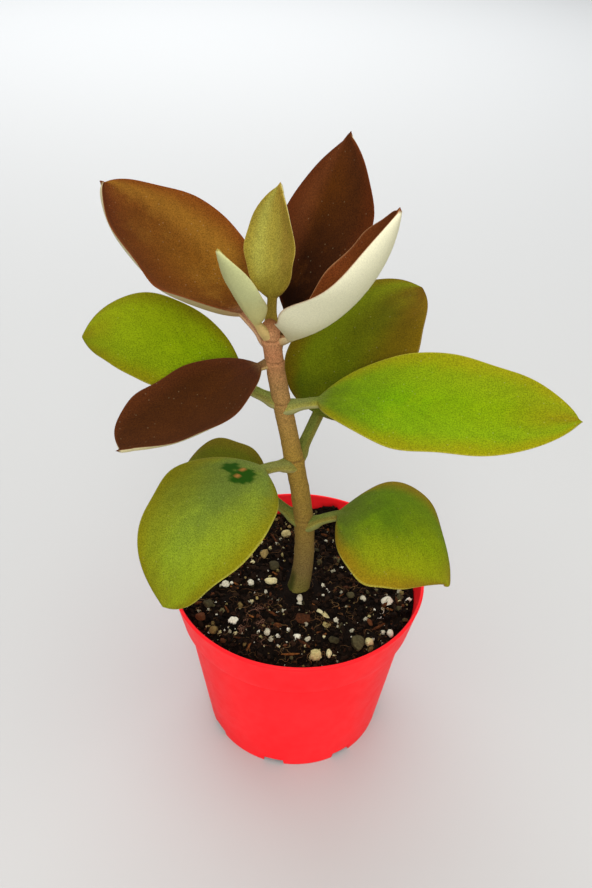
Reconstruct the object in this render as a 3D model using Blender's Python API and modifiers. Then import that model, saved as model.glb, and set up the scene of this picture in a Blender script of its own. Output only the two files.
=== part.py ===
"""Potted kalanchoe: a young copper-leaved plant in a thin red nursery pot.

Lengths are metres and angles are degrees.  The origin is the middle of the pot's
base, +Z is up and -Y is the front.  Bearings turn anticlockwise from +X as seen
from above.  Leaves grow in opposite pairs, each pair crossing the one below it.
"""

import math
from typing import NamedTuple

import bmesh
import bpy
import numpy as np
from mathutils import Matrix, Vector

GAP = 0.0003  # left between pieces that touch

# Pot: a tapered wall under a stepped, flaring collar
RIM_RADIUS = 0.045
POT_HEIGHT = 0.067
COLLAR_HEIGHT = 0.015
COLLAR_FLARE = 0.003
COLLAR_STEP = 0.0016
COLLAR_CHAMFER = 0.0006
BASE_RADIUS = 0.033
WALL = 0.0012
FLOOR = 0.0015
LIP_POINTS = 5
POT_SEGMENTS = 48

# Drain notches cut out of the pot's lower corner, with feet left between them
NOTCH_COUNT = 8
NOTCH_BEARING = -102.5
NOTCH_WIDTH = 0.0080
NOTCH_HEIGHT = 0.0026
NOTCH_REACH = 0.005

# Soil
SOIL_DROP = 0.0075  # below the rim
SOIL_EDGE_SLOPE = 0.0012

# Stem: its centre line is a cubic Bezier curve in the XZ plane
STEM_LENGTH = 0.107  # above the soil
STEM_STUB = 0.018  # in the soil
STEM_SWAY = (0.0003, 0.0066, -0.0086, -0.0112)  # X of the curve's control points
STEM_RADIUS = 0.00365
STEM_TIP_RADIUS = 0.0027
STUB_END_RADIUS = 0.0030
NODE_SWELLING = 0.0003
NODE_SPREAD = 0.0014
STEM_DOME = 0.0015
DOME_SLANTS = (0.0, 40.0, 75.0)
STEM_SPACING = 0.0045

# Roots: a crown under the stub and main roots that spread and sink from it
ROOT_COUNT = 5
ROOT_CROWN_RADIUS = 0.0032
ROOT_REACH = 0.022
ROOT_DROP = 0.024
ROOT_TURN = 35.0
ROOT_RADIUS = 0.0014
ROOT_TIP_RADIUS = 0.0006
ROOT_BEARING = 20.0
ROOT_POINTS = 8
TUBE_RESOLUTION = 3

# Leaves: lengths and widths below are for a stem of the first length, and keep step with it
LEAF_STEM_LENGTH = 0.107
BLADE_THICKNESS = 0.0020
STALK_THICKNESS = 0.0034
STALK_WIDTH = 0.0040
STALK_BLEND = 0.35  # share of the blade over which the stalk's form fades
LEAF_RINGS = 15
LEAF_SIDES = 10
PATH_STEPS = 121


class Leaf(NamedTuple):
    """One leaf, followed from its joint on the stem to its tip."""

    name: str
    node: float  # height of the joint, as a share of the stem above the soil
    bearing: float  # direction in which the stalk leaves the stem
    swing: float  # further turn of the direction by the tip
    rise: tuple  # climb at the joint, half way and at the tip
    stalk: float
    blade: float
    width: float
    fullness: tuple  # outline powers at the stalk end and the tip end, low is round
    roll: float  # bank about the midrib
    cup: tuple  # half-angle of the cross curve at the stalk end and the tip
    scale: float  # of the stalk's and the blade's thickness
    colour: tuple


LEAVES = (
    Leaf("leaf_1_right", 0.29, -25, 4, (43, -6, -86), 0.012, 0.0515, 0.049, (0.7, 1.2), 3,
         (-3, -36), 1.0, (0.20, 0.36, 0.02)),
    Leaf("leaf_1_left", 0.30, 163, 8, (33, 15, -60), 0.012, 0.035, 0.034, (0.6, 0.5), -4,
         (7, 12), 1.0, (0.12, 0.17, 0.02)),
    Leaf("leaf_2_front", 0.52, 220, 9, (24, -30, -84), 0.011, 0.0575, 0.045, (0.5, 0.7), 1,
         (-14, 16), 1.0, (0.22, 0.33, 0.05)),
    Leaf("leaf_2_back", 0.54, 53, -25, (46, 48, 2), 0.014, 0.057, 0.042, (0.4, 0.7), 13,
         (12, 16), 1.0, (0.10, 0.13, 0.01)),
    Leaf("leaf_3_right", 0.725, -12, -9, (22, 4, 13), 0.009, 0.077, 0.042, (0.6, 0.67), 17,
         (14, 8), 1.0, (0.26, 0.40, 0.01)),
    Leaf("leaf_3_left", 0.735, 159, 0, (10, 16, -42), 0.011, 0.061, 0.030, (0.65, 0.65), -38,
         (12, 2), 1.0, (0.24, 0.37, 0.01)),
    Leaf("leaf_4_front", 0.86, 203, 19, (-10, -26, 17), 0.003, 0.049, 0.039, (0.55, 0.55), 4,
         (12, 64), 0.7, (0.06, 0.02, 0.01)),
    Leaf("leaf_4_back", 0.87, 57, -19, (61, 60, 78), 0.0125, 0.056, 0.036, (1.0, 0.9), -8,
         (23, 12), 0.8, (0.08, 0.025, 0.01)),
    Leaf("leaf_5_front", 0.935, -30, 9, (29, 51, 87), 0.0030, 0.056, 0.055, (1.0, 0.72), 1,
         (58, 36), 0.65, (0.54, 0.52, 0.36)),
    Leaf("leaf_5_back", 0.93, 133, 38, (26, 31, 41), 0.011, 0.058, 0.041, (0.45, 0.6), -12,
         (31, 27), 0.9, (0.17, 0.07, 0.02)),
    Leaf("leaf_6_back", 0.975, 88, -13, (72, 67, 85), 0.007, 0.033, 0.0205, (0.8, 0.85), -34,
         (24, 31), 0.7, (0.32, 0.28, 0.08)),
    Leaf("leaf_6_front", 0.97, 226, -13, (54, 62, 68), 0.0045, 0.0285, 0.0165, (0.75, 0.8), 4,
         (30, 31), 0.65, (0.48, 0.46, 0.27)),
)


class Grain(NamedTuple):
    """One loose piece lying on the soil."""

    name: str
    reach: float  # distance from the middle, as a share of the soil's radius
    bearing: float
    size: tuple  # length, width and height
    turn: float
    kind: str


GRAINS = (
    Grain("pumice_1", 0.235, 173, (0.0052, 0.0034, 0.0026), 8, "pumice"),
    Grain("pumice_2", 0.82, -80, (0.0048, 0.0044, 0.0040), 70, "pumice"),
    Grain("pumice_3", 0.86, -48, (0.0040, 0.0030, 0.0028), 110, "pumice"),
    Grain("pumice_4", 0.81, -72, (0.0038, 0.0022, 0.0022), 100, "pumice"),
    Grain("perlite_1", 0.78, -14, (0.0052, 0.0040, 0.0030), -10, "perlite"),
    Grain("perlite_2", 0.69, 220, (0.0038, 0.0032, 0.0026), 20, "perlite"),
    Grain("perlite_3", 0.61, 246, (0.0032, 0.0026, 0.0024), 80, "perlite"),
    Grain("perlite_4", 0.62, 182, (0.0034, 0.0028, 0.0024), 40, "perlite"),
    Grain("perlite_5", 0.60, 270, (0.0030, 0.0026, 0.0022), 10, "perlite"),
    Grain("perlite_6", 0.16, -84, (0.0030, 0.0022, 0.0022), 80, "perlite"),
    Grain("perlite_7", 0.93, -36, (0.0034, 0.0024, 0.0024), 75, "perlite"),
    Grain("perlite_8", 0.60, 136, (0.0036, 0.0028, 0.0024), 70, "perlite"),
    Grain("perlite_9", 0.41, 179, (0.0030, 0.0026, 0.0020), 50, "perlite"),
    Grain("perlite_10", 0.58, -15, (0.0030, 0.0024, 0.0020), 65, "perlite"),
    Grain("stone_1", 0.83, -54, (0.0072, 0.0046, 0.0036), 75, "slate"),
    Grain("stone_2", 0.69, -65, (0.0042, 0.0034, 0.0024), 30, "slate"),
    Grain("stone_3", 0.80, 200, (0.0046, 0.0042, 0.0032), 60, "slate"),
    Grain("stone_4", 0.90, 207, (0.0044, 0.0036, 0.0030), -20, "clay"),
    Grain("stone_5", 0.88, 219, (0.0036, 0.0028, 0.0024), 50, "sand"),
    Grain("stone_6", 0.88, -8, (0.0036, 0.0026, 0.0022), 80, "slate"),
    Grain("stone_7", 0.48, 129, (0.0050, 0.0030, 0.0028), 75, "sand"),
    Grain("stone_8", 0.30, 133, (0.0044, 0.0042, 0.0026), 15, "slate"),
    Grain("stone_9", 0.47, -15, (0.0032, 0.0026, 0.0020), 0, "slate"),
    Grain("bark_1", 0.40, 275, (0.0075, 0.0036, 0.0024), 35, "bark"),
    Grain("bark_2", 0.50, 251, (0.0038, 0.0016, 0.0016), 20, "bark"),
    Grain("perlite_11", 0.80, 60, (0.0036, 0.0030, 0.0026), 15, "perlite"),
    Grain("pumice_5", 0.66, 100, (0.0044, 0.0034, 0.0028), -30, "pumice"),
)
GRAIN_COLOURS = {
    "pumice": (0.60, 0.52, 0.30),
    "perlite": (0.72, 0.71, 0.64),
    "slate": (0.07, 0.07, 0.045),
    "clay": (0.16, 0.06, 0.03),
    "sand": (0.30, 0.22, 0.11),
    "bark": (0.20, 0.08, 0.035),
}
GRAIN_CHIPS = 7
GRAIN_CHIP_DEPTH = 0.72  # of the grain's half-size, where a flat face cuts it
GRAIN_SEED = 11

# What the sizes above lead to
COLLAR_FOOT = POT_HEIGHT - COLLAR_HEIGHT
COLLAR_FOOT_RADIUS = RIM_RADIUS - COLLAR_FLARE
WALL_TOP_RADIUS = COLLAR_FOOT_RADIUS - COLLAR_STEP
SOIL_TOP = POT_HEIGHT - SOIL_DROP
STUB_END = SOIL_TOP - STEM_STUB


# ---------------------------------------------------------------- scene and helpers
def clear_scene():
    for item in list(bpy.data.objects):
        bpy.data.objects.remove(item, do_unlink=True)


def collection(name):
    found = bpy.data.collections.new(name)
    bpy.context.scene.collection.children.link(found)
    return found


def paint(item, colour, roughness):
    """Give an object a material of its own."""
    surface = bpy.data.materials.new(item.name)
    surface.use_nodes = True
    shader = surface.node_tree.nodes["Principled BSDF"]
    shader.inputs["Base Color"].default_value = (*colour, 1.0)
    shader.inputs["Roughness"].default_value = roughness
    item.data.materials.append(surface)


def turned(name, profile, home):
    """Turn an (r, z) profile, listed down its outer side, about the Z axis."""
    mesh = bpy.data.meshes.new(name)
    edges = [(i, i + 1) for i in range(len(profile) - 1)]
    mesh.from_pydata([(r, 0.0, z) for r, z in profile], edges, [])
    item = bpy.data.objects.new(name, mesh)
    home.objects.link(item)
    screw = item.modifiers.new("turn", "SCREW")
    screw.steps = screw.render_steps = POT_SEGMENTS
    screw.use_merge_vertices = True
    screw.merge_threshold = 0.00001
    screw.use_smooth_shade = True
    return item


def tube(name, points, radii, home):
    """A round tube of changing radius along a line of points, with filled ends."""
    curve = bpy.data.curves.new(name, "CURVE")
    curve.dimensions = "3D"
    curve.bevel_depth = 1.0
    curve.bevel_resolution = TUBE_RESOLUTION
    curve.use_fill_caps = True
    spline = curve.splines.new("POLY")
    spline.points.add(len(points) - 1)
    for knot, place, radius in zip(spline.points, points, radii):
        knot.co = (*place, 1.0)
        knot.radius = radius
    item = bpy.data.objects.new(name, curve)
    home.objects.link(item)
    return item


def as_mesh(item, home):
    """Replace a tube by a mesh with its end caps welded on."""
    ready = item.evaluated_get(bpy.context.evaluated_depsgraph_get())
    mesh = bpy.data.meshes.new_from_object(ready)
    form = bmesh.new()
    form.from_mesh(mesh)
    bmesh.ops.remove_doubles(form, verts=form.verts, dist=0.00001)
    form.to_mesh(mesh)
    form.free()
    name, place = item.name, item.matrix_world.copy()
    bpy.data.objects.remove(item, do_unlink=True)
    solid = bpy.data.objects.new(name, mesh)
    solid.matrix_world = place
    home.objects.link(solid)
    return solid


def combine(item, other, operation):
    cut = item.modifiers.new(other.name, "BOOLEAN")
    cut.operation = operation
    cut.object = other
    cut.solver = "EXACT"


def hide_tool(item):
    item.hide_render = True
    item.display_type = "WIRE"


def smooth_step(x):
    x = np.clip(x, 0.0, 1.0)
    return x * x * (3.0 - 2.0 * x)


# ---------------------------------------------------------------- pot and soil
def pot_outline():
    """Outside of the pot from below the lip down to the base."""
    return [
        (COLLAR_FOOT_RADIUS, COLLAR_FOOT + COLLAR_CHAMFER),
        (COLLAR_FOOT_RADIUS - COLLAR_CHAMFER, COLLAR_FOOT),
        (WALL_TOP_RADIUS, COLLAR_FOOT),
        (BASE_RADIUS, 0.0),
    ]


def inner_radius(z):
    """Radius of the pot's inside at a height."""
    if z >= COLLAR_FOOT + WALL:
        share = (z - COLLAR_FOOT) / COLLAR_HEIGHT
        return COLLAR_FOOT_RADIUS + COLLAR_FLARE * share - WALL
    share = min(z / COLLAR_FOOT, 1.0)
    return BASE_RADIUS + (WALL_TOP_RADIUS - BASE_RADIUS) * share - WALL


def inner_ledge():
    """The two corners of the step inside the collar, from above."""
    ledge = COLLAR_FOOT + WALL
    return [
        (inner_radius(ledge), ledge),
        (inner_radius(ledge - GAP), ledge),
    ]


def lip():
    """Half circle over the wall's top edge, from the inside over to the outside."""
    half = WALL / 2
    middle = Vector((RIM_RADIUS - half, POT_HEIGHT - half))
    angles = [math.pi * (1 - i / (LIP_POINTS - 1)) for i in range(LIP_POINTS)]
    return [(middle.x + half * math.cos(a), middle.y + half * math.sin(a)) for a in angles]


def notch_cutters(home):
    """Blocks standing across the lower corner, one at each drain notch."""
    form = bmesh.new()
    for i in range(NOTCH_COUNT):
        bearing = math.radians(NOTCH_BEARING + 360.0 * i / NOTCH_COUNT)
        made = bmesh.ops.create_cube(form, size=1.0)["verts"]
        bmesh.ops.scale(form, vec=(2 * NOTCH_REACH, NOTCH_WIDTH, 2 * NOTCH_HEIGHT), verts=made)
        bmesh.ops.translate(form, vec=(BASE_RADIUS, 0.0, 0.0), verts=made)
        bmesh.ops.rotate(form, cent=(0, 0, 0), matrix=Matrix.Rotation(bearing, 3, "Z"), verts=made)
    mesh = bpy.data.meshes.new("notch_cutters")
    form.to_mesh(mesh)
    form.free()
    item = bpy.data.objects.new("notch_cutters", mesh)
    home.objects.link(item)
    hide_tool(item)
    return item


def make_pot(home, tools):
    inside = [(0.0, FLOOR), (inner_radius(FLOOR), FLOOR)] + inner_ledge()[::-1]
    item = turned("pot", inside + lip() + pot_outline() + [(0.0, 0.0)], home)
    combine(item, notch_cutters(tools), "DIFFERENCE")
    paint(item, (1.0, 0.02, 0.03), 0.5)
    return item


def make_soil(home, tools):
    """Fills the pot a little clear of its wall, with a pocket for the plant's foot."""
    edge = inner_radius(SOIL_TOP - SOIL_EDGE_SLOPE) - GAP
    bottom = FLOOR + GAP
    side = [(r - GAP, z + 2 * GAP) for r, z in inner_ledge()]
    profile = [
        (0.0, SOIL_TOP),
        (edge - SOIL_EDGE_SLOPE, SOIL_TOP),
        (edge, SOIL_TOP - SOIL_EDGE_SLOPE),
        *side,
        (inner_radius(bottom) - GAP, bottom),
        (0.0, bottom),
    ]
    item = turned("soil", profile, home)
    combine(item, stem_pocket(tools), "DIFFERENCE")
    combine(item, root_system("root_pocket", GAP, tools), "DIFFERENCE")
    paint(item, (0.012, 0.008, 0.006), 0.95)
    return item


# ---------------------------------------------------------------- stem and roots
def stem_place(share):
    """Point on the stem's centre line, at a share of its length above the soil."""
    a, b, c, d = STEM_SWAY
    rest = 1.0 - share
    x = a * rest**3 + 3 * b * share * rest**2 + 3 * c * share**2 * rest + d * share**3
    return np.array([x, 0.0, SOIL_TOP + share * STEM_LENGTH])


def stem_slant(share):
    """Sideways run of the stem's centre line for each unit of height."""
    a, b, c, d = STEM_SWAY
    rest = 1.0 - share
    run = 3 * (b - a) * rest**2 + 6 * (c - b) * share * rest + 3 * (d - c) * share**2
    return run / STEM_LENGTH


def stem_radius(share):
    """Plain taper from the soil up to the tip, with no swellings."""
    return STEM_RADIUS + (STEM_TIP_RADIUS - STEM_RADIUS) * min(max(share, 0.0), 1.0)


def node_shares():
    """One height for each pair of leaves."""
    return [(a.node + b.node) / 2 for a, b in zip(LEAVES[::2], LEAVES[1::2])]


def swollen_radius(share):
    offsets = [(share - node) * STEM_LENGTH / NODE_SPREAD for node in node_shares()]
    return stem_radius(share) + NODE_SWELLING * max(math.exp(-(d * d)) for d in offsets)


def stub_line(extra):
    """Points and radii of the stem's buried end, from its foot to half way up."""
    x = stem_place(0.0)[0]
    points = [(x, 0.0, STUB_END - extra), (x, 0.0, (STUB_END + SOIL_TOP) / 2)]
    radii = [STUB_END_RADIUS + extra, (STUB_END_RADIUS + STEM_RADIUS) / 2 + extra]
    return points, radii


def stem_stations():
    """Shares at which the stem is drawn: even steps, with closer ones round each node."""
    top = 1.0 - STEM_DOME / STEM_LENGTH
    spread = NODE_SPREAD / STEM_LENGTH
    nodes = node_shares()
    even = np.linspace(0.0, top, round(STEM_LENGTH / STEM_SPACING))
    stations = [s for s in even if all(abs(s - node) > 2 * spread for node in nodes)]
    stations += [node + k * spread for node in nodes for k in (-1.5, -0.6, 0.0, 0.6, 1.5)]
    return sorted(s for s in stations if s < top)


def make_stem(home):
    points, radii = stub_line(0.0)
    for share in stem_stations():
        points.append(tuple(stem_place(share)))
        radii.append(swollen_radius(share))
    for slant in DOME_SLANTS:
        angle = math.radians(slant)
        below = STEM_DOME / STEM_LENGTH * (1.0 - math.sin(angle))
        points.append(tuple(stem_place(1.0 - below)))
        radii.append(STEM_TIP_RADIUS * math.cos(angle))
    item = tube("stem", points, radii, home)
    paint(item, (0.24, 0.17, 0.09), 0.8)
    return item


def stem_pocket(tools):
    """The stub's own form, wider by the gap and run out above the soil."""
    points, radii = stub_line(GAP)
    for share in (0.0, 2 * STEM_RADIUS / STEM_LENGTH):
        points.append(tuple(stem_place(share)))
        radii.append(STEM_RADIUS + GAP)
    item = as_mesh(tube("stem_pocket", points, radii, tools), tools)
    hide_tool(item)
    return item


def root_line(index, extra):
    """One main root: it leaves the crown sideways, then sinks and wanders."""
    start = stem_place(0.0)
    crown = np.array([start[0], 0.0, STUB_END - GAP - ROOT_CROWN_RADIUS])
    shares = np.linspace(0.0, 1.0, ROOT_POINTS)
    bearing = ROOT_BEARING + 360.0 * index / ROOT_COUNT + ROOT_TURN * shares**2
    away = ROOT_REACH * np.sin(shares * math.pi / 2)
    down = ROOT_DROP * shares**1.6
    turn = np.radians(bearing)
    line = crown + np.stack([away * np.cos(turn), away * np.sin(turn), -down], axis=1)
    line[-1] += extra * (line[-1] - line[-2]) / np.linalg.norm(line[-1] - line[-2])
    radii = ROOT_RADIUS + (ROOT_TIP_RADIUS - ROOT_RADIUS) * shares + extra
    return crown, line, radii


def root_system(name, extra, home, tools=None):
    """Crown and main roots in one body, all grown outward by `extra`."""
    crown = root_line(0, extra)[0]
    form = bmesh.new()
    radius = ROOT_CROWN_RADIUS + extra
    bmesh.ops.create_uvsphere(form, u_segments=16, v_segments=10, radius=radius)
    bmesh.ops.translate(form, vec=crown, verts=form.verts)
    mesh = bpy.data.meshes.new(name)
    form.to_mesh(mesh)
    form.free()
    item = bpy.data.objects.new(name, mesh)
    home.objects.link(item)
    for index in range(ROOT_COUNT):
        _, line, radii = root_line(index, extra)
        arm = as_mesh(tube(f"{name}_{index + 1}", line, radii, tools or home), tools or home)
        hide_tool(arm)
        combine(item, arm, "UNION")
    if tools is None:
        hide_tool(item)
    return item


def make_roots(home, tools):
    item = root_system("roots", 0.0, home, tools)
    paint(item, (0.35, 0.25, 0.14), 0.9)
    return item


# ---------------------------------------------------------------- leaves
def grown(leaf):
    """The leaf at the size that suits the stem's length."""
    growth = STEM_LENGTH / LEAF_STEM_LENGTH
    return leaf._replace(
        stalk=leaf.stalk * growth, blade=leaf.blade * growth, width=leaf.width * growth
    )


def outline(share, low, high):
    """Half-width of a blade along its length: share^low (1 - share)^high, peak 1."""
    peak = low / (low + high)
    share = np.clip(share, 0.0, 1.0)
    return share**low * (1 - share) ** high / (peak**low * (1 - peak) ** high)


def midrib(leaf):
    """Stations along a leaf from the stem's surface: lengths, places and frames."""
    length = leaf.stalk + leaf.blade
    along = np.linspace(0.0, length, PATH_STEPS)
    share = along / length
    first, middle, last = leaf.rise
    climb = np.radians(
        first * (1 - share) * (1 - 2 * share)
        + middle * 4 * share * (1 - share)
        + last * share * (2 * share - 1)
    )
    bearing = np.radians(leaf.swing * share)
    ahead = np.stack(
        [np.cos(climb) * np.cos(bearing), np.cos(climb) * np.sin(bearing), np.sin(climb)], axis=1
    )
    steps = (ahead[1:] + ahead[:-1]) / 2 * np.diff(along)[:, None]
    place = np.concatenate([np.zeros((1, 3)), np.cumsum(steps, axis=0)])
    level = np.stack([-np.sin(bearing), np.cos(bearing), 0 * bearing], axis=1)
    return along, place, ahead, level


def seat(leaf):
    """Length of stalk given up so that its upright cut end clears the leaning, swollen stem."""
    lean = abs(stem_slant(leaf.node) * math.cos(math.radians(leaf.bearing)))
    inward = lean * STALK_THICKNESS * leaf.scale / 2
    return (NODE_SWELLING + GAP + inward) / math.cos(math.radians(leaf.rise[0]))


def leaf_rings(leaf):
    """Closed rings of points from the stalk's end to just short of the tip."""
    along, place, ahead, level = midrib(leaf)
    start = seat(leaf)
    spread = np.linspace(0.0, 1.0, LEAF_RINGS)
    blade_stops = leaf.stalk + leaf.blade * (1 - np.cos(spread * math.pi)) / 2
    stops = np.concatenate([[start], blade_stops[blade_stops > start + 0.001][:-1]])
    at = np.stack([np.interp(stops, along, place[:, k]) for k in range(3)], axis=1)
    ahead = np.stack([np.interp(stops, along, ahead[:, k]) for k in range(3)], axis=1)
    level = np.stack([np.interp(stops, along, level[:, k]) for k in range(3)], axis=1)
    over = np.cross(ahead, level)

    share = np.clip((stops - leaf.stalk) / leaf.blade, 0.0, 1.0)
    fade = smooth_step(share / STALK_BLEND)
    half_stalk = STALK_WIDTH * leaf.scale / 2
    half_width = leaf.width / 2 * outline(share, *leaf.fullness)
    half_width = np.where(share < 0.5, np.maximum(half_width, half_stalk), half_width)
    half_thick = (STALK_THICKNESS * (1 - fade) + BLADE_THICKNESS * fade) * leaf.scale / 2
    half_thick = np.minimum(half_thick, half_width)

    roll = np.radians(leaf.roll) * smooth_step(stops / (leaf.stalk + STALK_BLEND * leaf.blade))
    side = np.cos(roll)[:, None] * level + np.sin(roll)[:, None] * over
    over = np.cos(roll)[:, None] * over - np.sin(roll)[:, None] * level
    bend = np.radians(leaf.cup[0] + (leaf.cup[1] - leaf.cup[0]) * share)
    bend = np.where(np.abs(bend) < 0.001, 0.001, bend)

    around = 2 * math.pi * np.arange(LEAF_SIDES) / LEAF_SIDES
    turn = bend[:, None] * np.cos(around)
    reach = (half_width / bend)[:, None]
    lift = half_thick[:, None] * np.sin(around)
    across = reach * np.sin(turn) - lift * np.sin(turn)
    above = reach * (1 - np.cos(turn)) + lift * np.cos(turn)
    rings = at[:, None] + across[..., None] * side[:, None] + above[..., None] * over[:, None]
    lean = (rings[0, :, 0] - at[0, 0]) / ahead[0, 0]
    rings[0] -= lean[:, None] * ahead[0]  # slides the first ring into an upright plane
    return rings, place[-1]


def loft(name, rings, tip, home):
    """Skin a row of rings, close its start and gather its end in one point."""
    form = bmesh.new()
    rows = [[form.verts.new(point) for point in ring] for ring in rings]
    for low, high in zip(rows[:-1], rows[1:]):
        for j in range(len(low)):
            k = (j + 1) % len(low)
            form.faces.new((low[j], low[k], high[k], high[j]))
    form.faces.new(rows[0][::-1])
    point = form.verts.new(tip)
    for j in range(len(rows[-1])):
        form.faces.new((rows[-1][j], rows[-1][(j + 1) % len(rows[-1])], point))
    bmesh.ops.recalc_face_normals(form, faces=form.faces)
    mesh = bpy.data.meshes.new(name)
    form.to_mesh(mesh)
    form.free()
    mesh.shade_smooth()
    item = bpy.data.objects.new(name, mesh)
    home.objects.link(item)
    return item


def make_leaf(leaf, home):
    rings, tip = leaf_rings(grown(leaf))
    item = loft(leaf.name, rings, tip, home)
    turn = math.radians(leaf.bearing)
    out = np.array([math.cos(turn), math.sin(turn), 0.0])
    item.location = stem_place(leaf.node) + stem_radius(leaf.node) * out
    item.rotation_euler = (0.0, 0.0, turn)
    paint(item, leaf.colour, 0.7)
    return item


# ---------------------------------------------------------------- loose pieces
def make_grain(grain, index, home):
    """A lump knocked flat on a few random sides, resting on the soil."""
    form = bmesh.new()
    bmesh.ops.create_icosphere(form, subdivisions=2, radius=1.0)
    rng = np.random.default_rng(GRAIN_SEED + index)
    facings = rng.normal(size=(GRAIN_CHIPS, 3))
    facings /= np.linalg.norm(facings, axis=1, keepdims=True)
    for vert in form.verts:
        for facing in facings:
            proud = vert.co.dot(Vector(facing)) - GRAIN_CHIP_DEPTH
            if proud > 0.0:
                vert.co -= proud * Vector(facing)
    half = Vector(grain.size) / 2
    bmesh.ops.scale(form, vec=half, verts=form.verts)
    lowest = min(vert.co.z for vert in form.verts)
    mesh = bpy.data.meshes.new(grain.name)
    form.to_mesh(mesh)
    form.free()
    item = bpy.data.objects.new(grain.name, mesh)
    home.objects.link(item)
    flat = inner_radius(SOIL_TOP) - GAP
    bearing = math.radians(grain.bearing)
    item.location = (
        grain.reach * flat * math.cos(bearing),
        grain.reach * flat * math.sin(bearing),
        SOIL_TOP + GAP - lowest,
    )
    item.rotation_euler = (0.0, 0.0, math.radians(grain.turn))
    paint(item, GRAIN_COLOURS[grain.kind], 0.9)
    return item


def main():
    clear_scene()
    home = collection("potted_kalanchoe")
    tools = collection("cutters")
    make_pot(home, tools)
    make_soil(home, tools)
    make_roots(home, tools)
    make_stem(home)
    for leaf in LEAVES:
        make_leaf(leaf, home)
    for index, grain in enumerate(GRAINS):
        make_grain(grain, index, home)


main()
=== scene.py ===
"""Potted kalanchoe: a young copper-leaved plant in a thin red nursery pot.

Lengths are metres, and angles are degrees apart from the camera's, which are radians.  The
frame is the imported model's own: the origin is the middle of the pot's base, +Z is up and -Y
is the front.  Bearings turn anticlockwise from +X as seen from above.
"""

import math
from itertools import product
from typing import NamedTuple

import bpy
import numpy as np
from bpy.props import FloatProperty, FloatVectorProperty, IntProperty, PointerProperty
from mathutils import Matrix, Vector


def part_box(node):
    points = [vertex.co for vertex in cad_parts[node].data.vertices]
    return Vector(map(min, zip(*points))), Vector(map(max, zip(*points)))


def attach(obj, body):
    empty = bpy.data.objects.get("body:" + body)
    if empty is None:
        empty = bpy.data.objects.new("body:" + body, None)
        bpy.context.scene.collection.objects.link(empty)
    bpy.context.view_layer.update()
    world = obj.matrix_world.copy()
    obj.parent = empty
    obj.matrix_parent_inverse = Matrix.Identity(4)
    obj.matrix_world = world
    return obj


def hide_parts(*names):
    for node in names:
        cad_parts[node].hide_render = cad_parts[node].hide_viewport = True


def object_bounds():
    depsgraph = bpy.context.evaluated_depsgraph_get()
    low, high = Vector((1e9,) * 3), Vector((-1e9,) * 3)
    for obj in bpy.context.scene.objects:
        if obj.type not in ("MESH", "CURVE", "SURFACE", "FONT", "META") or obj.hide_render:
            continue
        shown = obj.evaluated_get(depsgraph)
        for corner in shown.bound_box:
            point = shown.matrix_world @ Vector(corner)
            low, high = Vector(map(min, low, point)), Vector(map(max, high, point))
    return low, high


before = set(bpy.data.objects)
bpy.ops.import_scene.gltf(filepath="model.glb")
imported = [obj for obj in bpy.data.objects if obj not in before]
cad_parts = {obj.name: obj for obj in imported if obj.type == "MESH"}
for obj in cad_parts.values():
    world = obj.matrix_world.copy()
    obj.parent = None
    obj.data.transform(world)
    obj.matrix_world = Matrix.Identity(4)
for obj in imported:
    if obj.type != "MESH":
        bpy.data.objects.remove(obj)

bl_info = {
    "name": "Potted kalanchoe",
    "version": (1, 0, 0),
    "blender": (4, 5, 0),
    "location": "3D View > Sidebar > Kalanchoe",
    "description": "A felt-leaved kalanchoe in a red nursery pot, made round its CAD frame",
    "category": "Add Mesh",
}

MM = 0.001
BODY = "root"

CAD_LOW, CAD_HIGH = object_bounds()
POT_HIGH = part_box("pot")[1]
SOIL_LOW, SOIL_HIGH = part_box("soil")
SOIL_TOP = SOIL_HIGH.z
STEM_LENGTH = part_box("stem")[1].z - SOIL_TOP


# ---------------------------------------------------------------- colour and nodes
def to_linear(code):
    """An sRGB hex colour as linear red, green and blue."""
    parts = [int(code[i : i + 2], 16) / 255 for i in (1, 3, 5)]
    return tuple(c / 12.92 if c <= 0.04045 else ((c + 0.055) / 1.055) ** 2.4 for c in parts)


def add(tree, kind, inputs=None, stops=None, **settings):
    """Add a node, set its attributes, fill or link its inputs, and place a ramp's stops."""
    node = tree.nodes.new("ShaderNode" + kind)
    for key, value in settings.items():
        setattr(node, key, value)
    for key, value in (inputs or {}).items():
        if isinstance(value, bpy.types.NodeSocket):
            tree.links.new(value, node.inputs[key])
        else:
            node.inputs[key].default_value = (*value, 1.0) if (
                isinstance(value, tuple) and len(node.inputs[key].default_value) == 4
            ) else value
    for index, (place, value) in enumerate(stops or ()):
        elements = node.color_ramp.elements
        stop = elements[index] if index < 2 else elements.new(place)
        stop.position = place
        stop.color = (*value, 1.0) if isinstance(value, tuple) else (value, value, value, 1.0)
    return node


MIX_FACTOR, MIX_A, MIX_B, MIX_OUT = 0, 6, 7, 2  # a colour Mix node's sockets


def new_material(name):
    """An empty node material with its output, and the tree it is built in."""
    material = bpy.data.materials.new(name)
    material.use_nodes = True
    tree = material.node_tree
    tree.nodes.clear()
    return material, tree


def finish_material(tree, colour, roughness, bump=None, **sockets):
    """Join colour, roughness and relief to a Principled shader; its other sockets are
    constants."""
    inputs = {"Base Color": colour, "Roughness": roughness}
    inputs.update({key.replace("_", " "): value for key, value in sockets.items()})
    if bump is not None:
        inputs["Normal"] = bump
    shader = add(tree, "BsdfPrincipled", inputs)
    add(tree, "OutputMaterial", {"Surface": shader.outputs["BSDF"]})


# ---------------------------------------------------------------- surfaces
def smooth_step(x):
    x = np.clip(x, 0.0, 1.0)
    return x * x * (3.0 - 2.0 * x)


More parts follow.
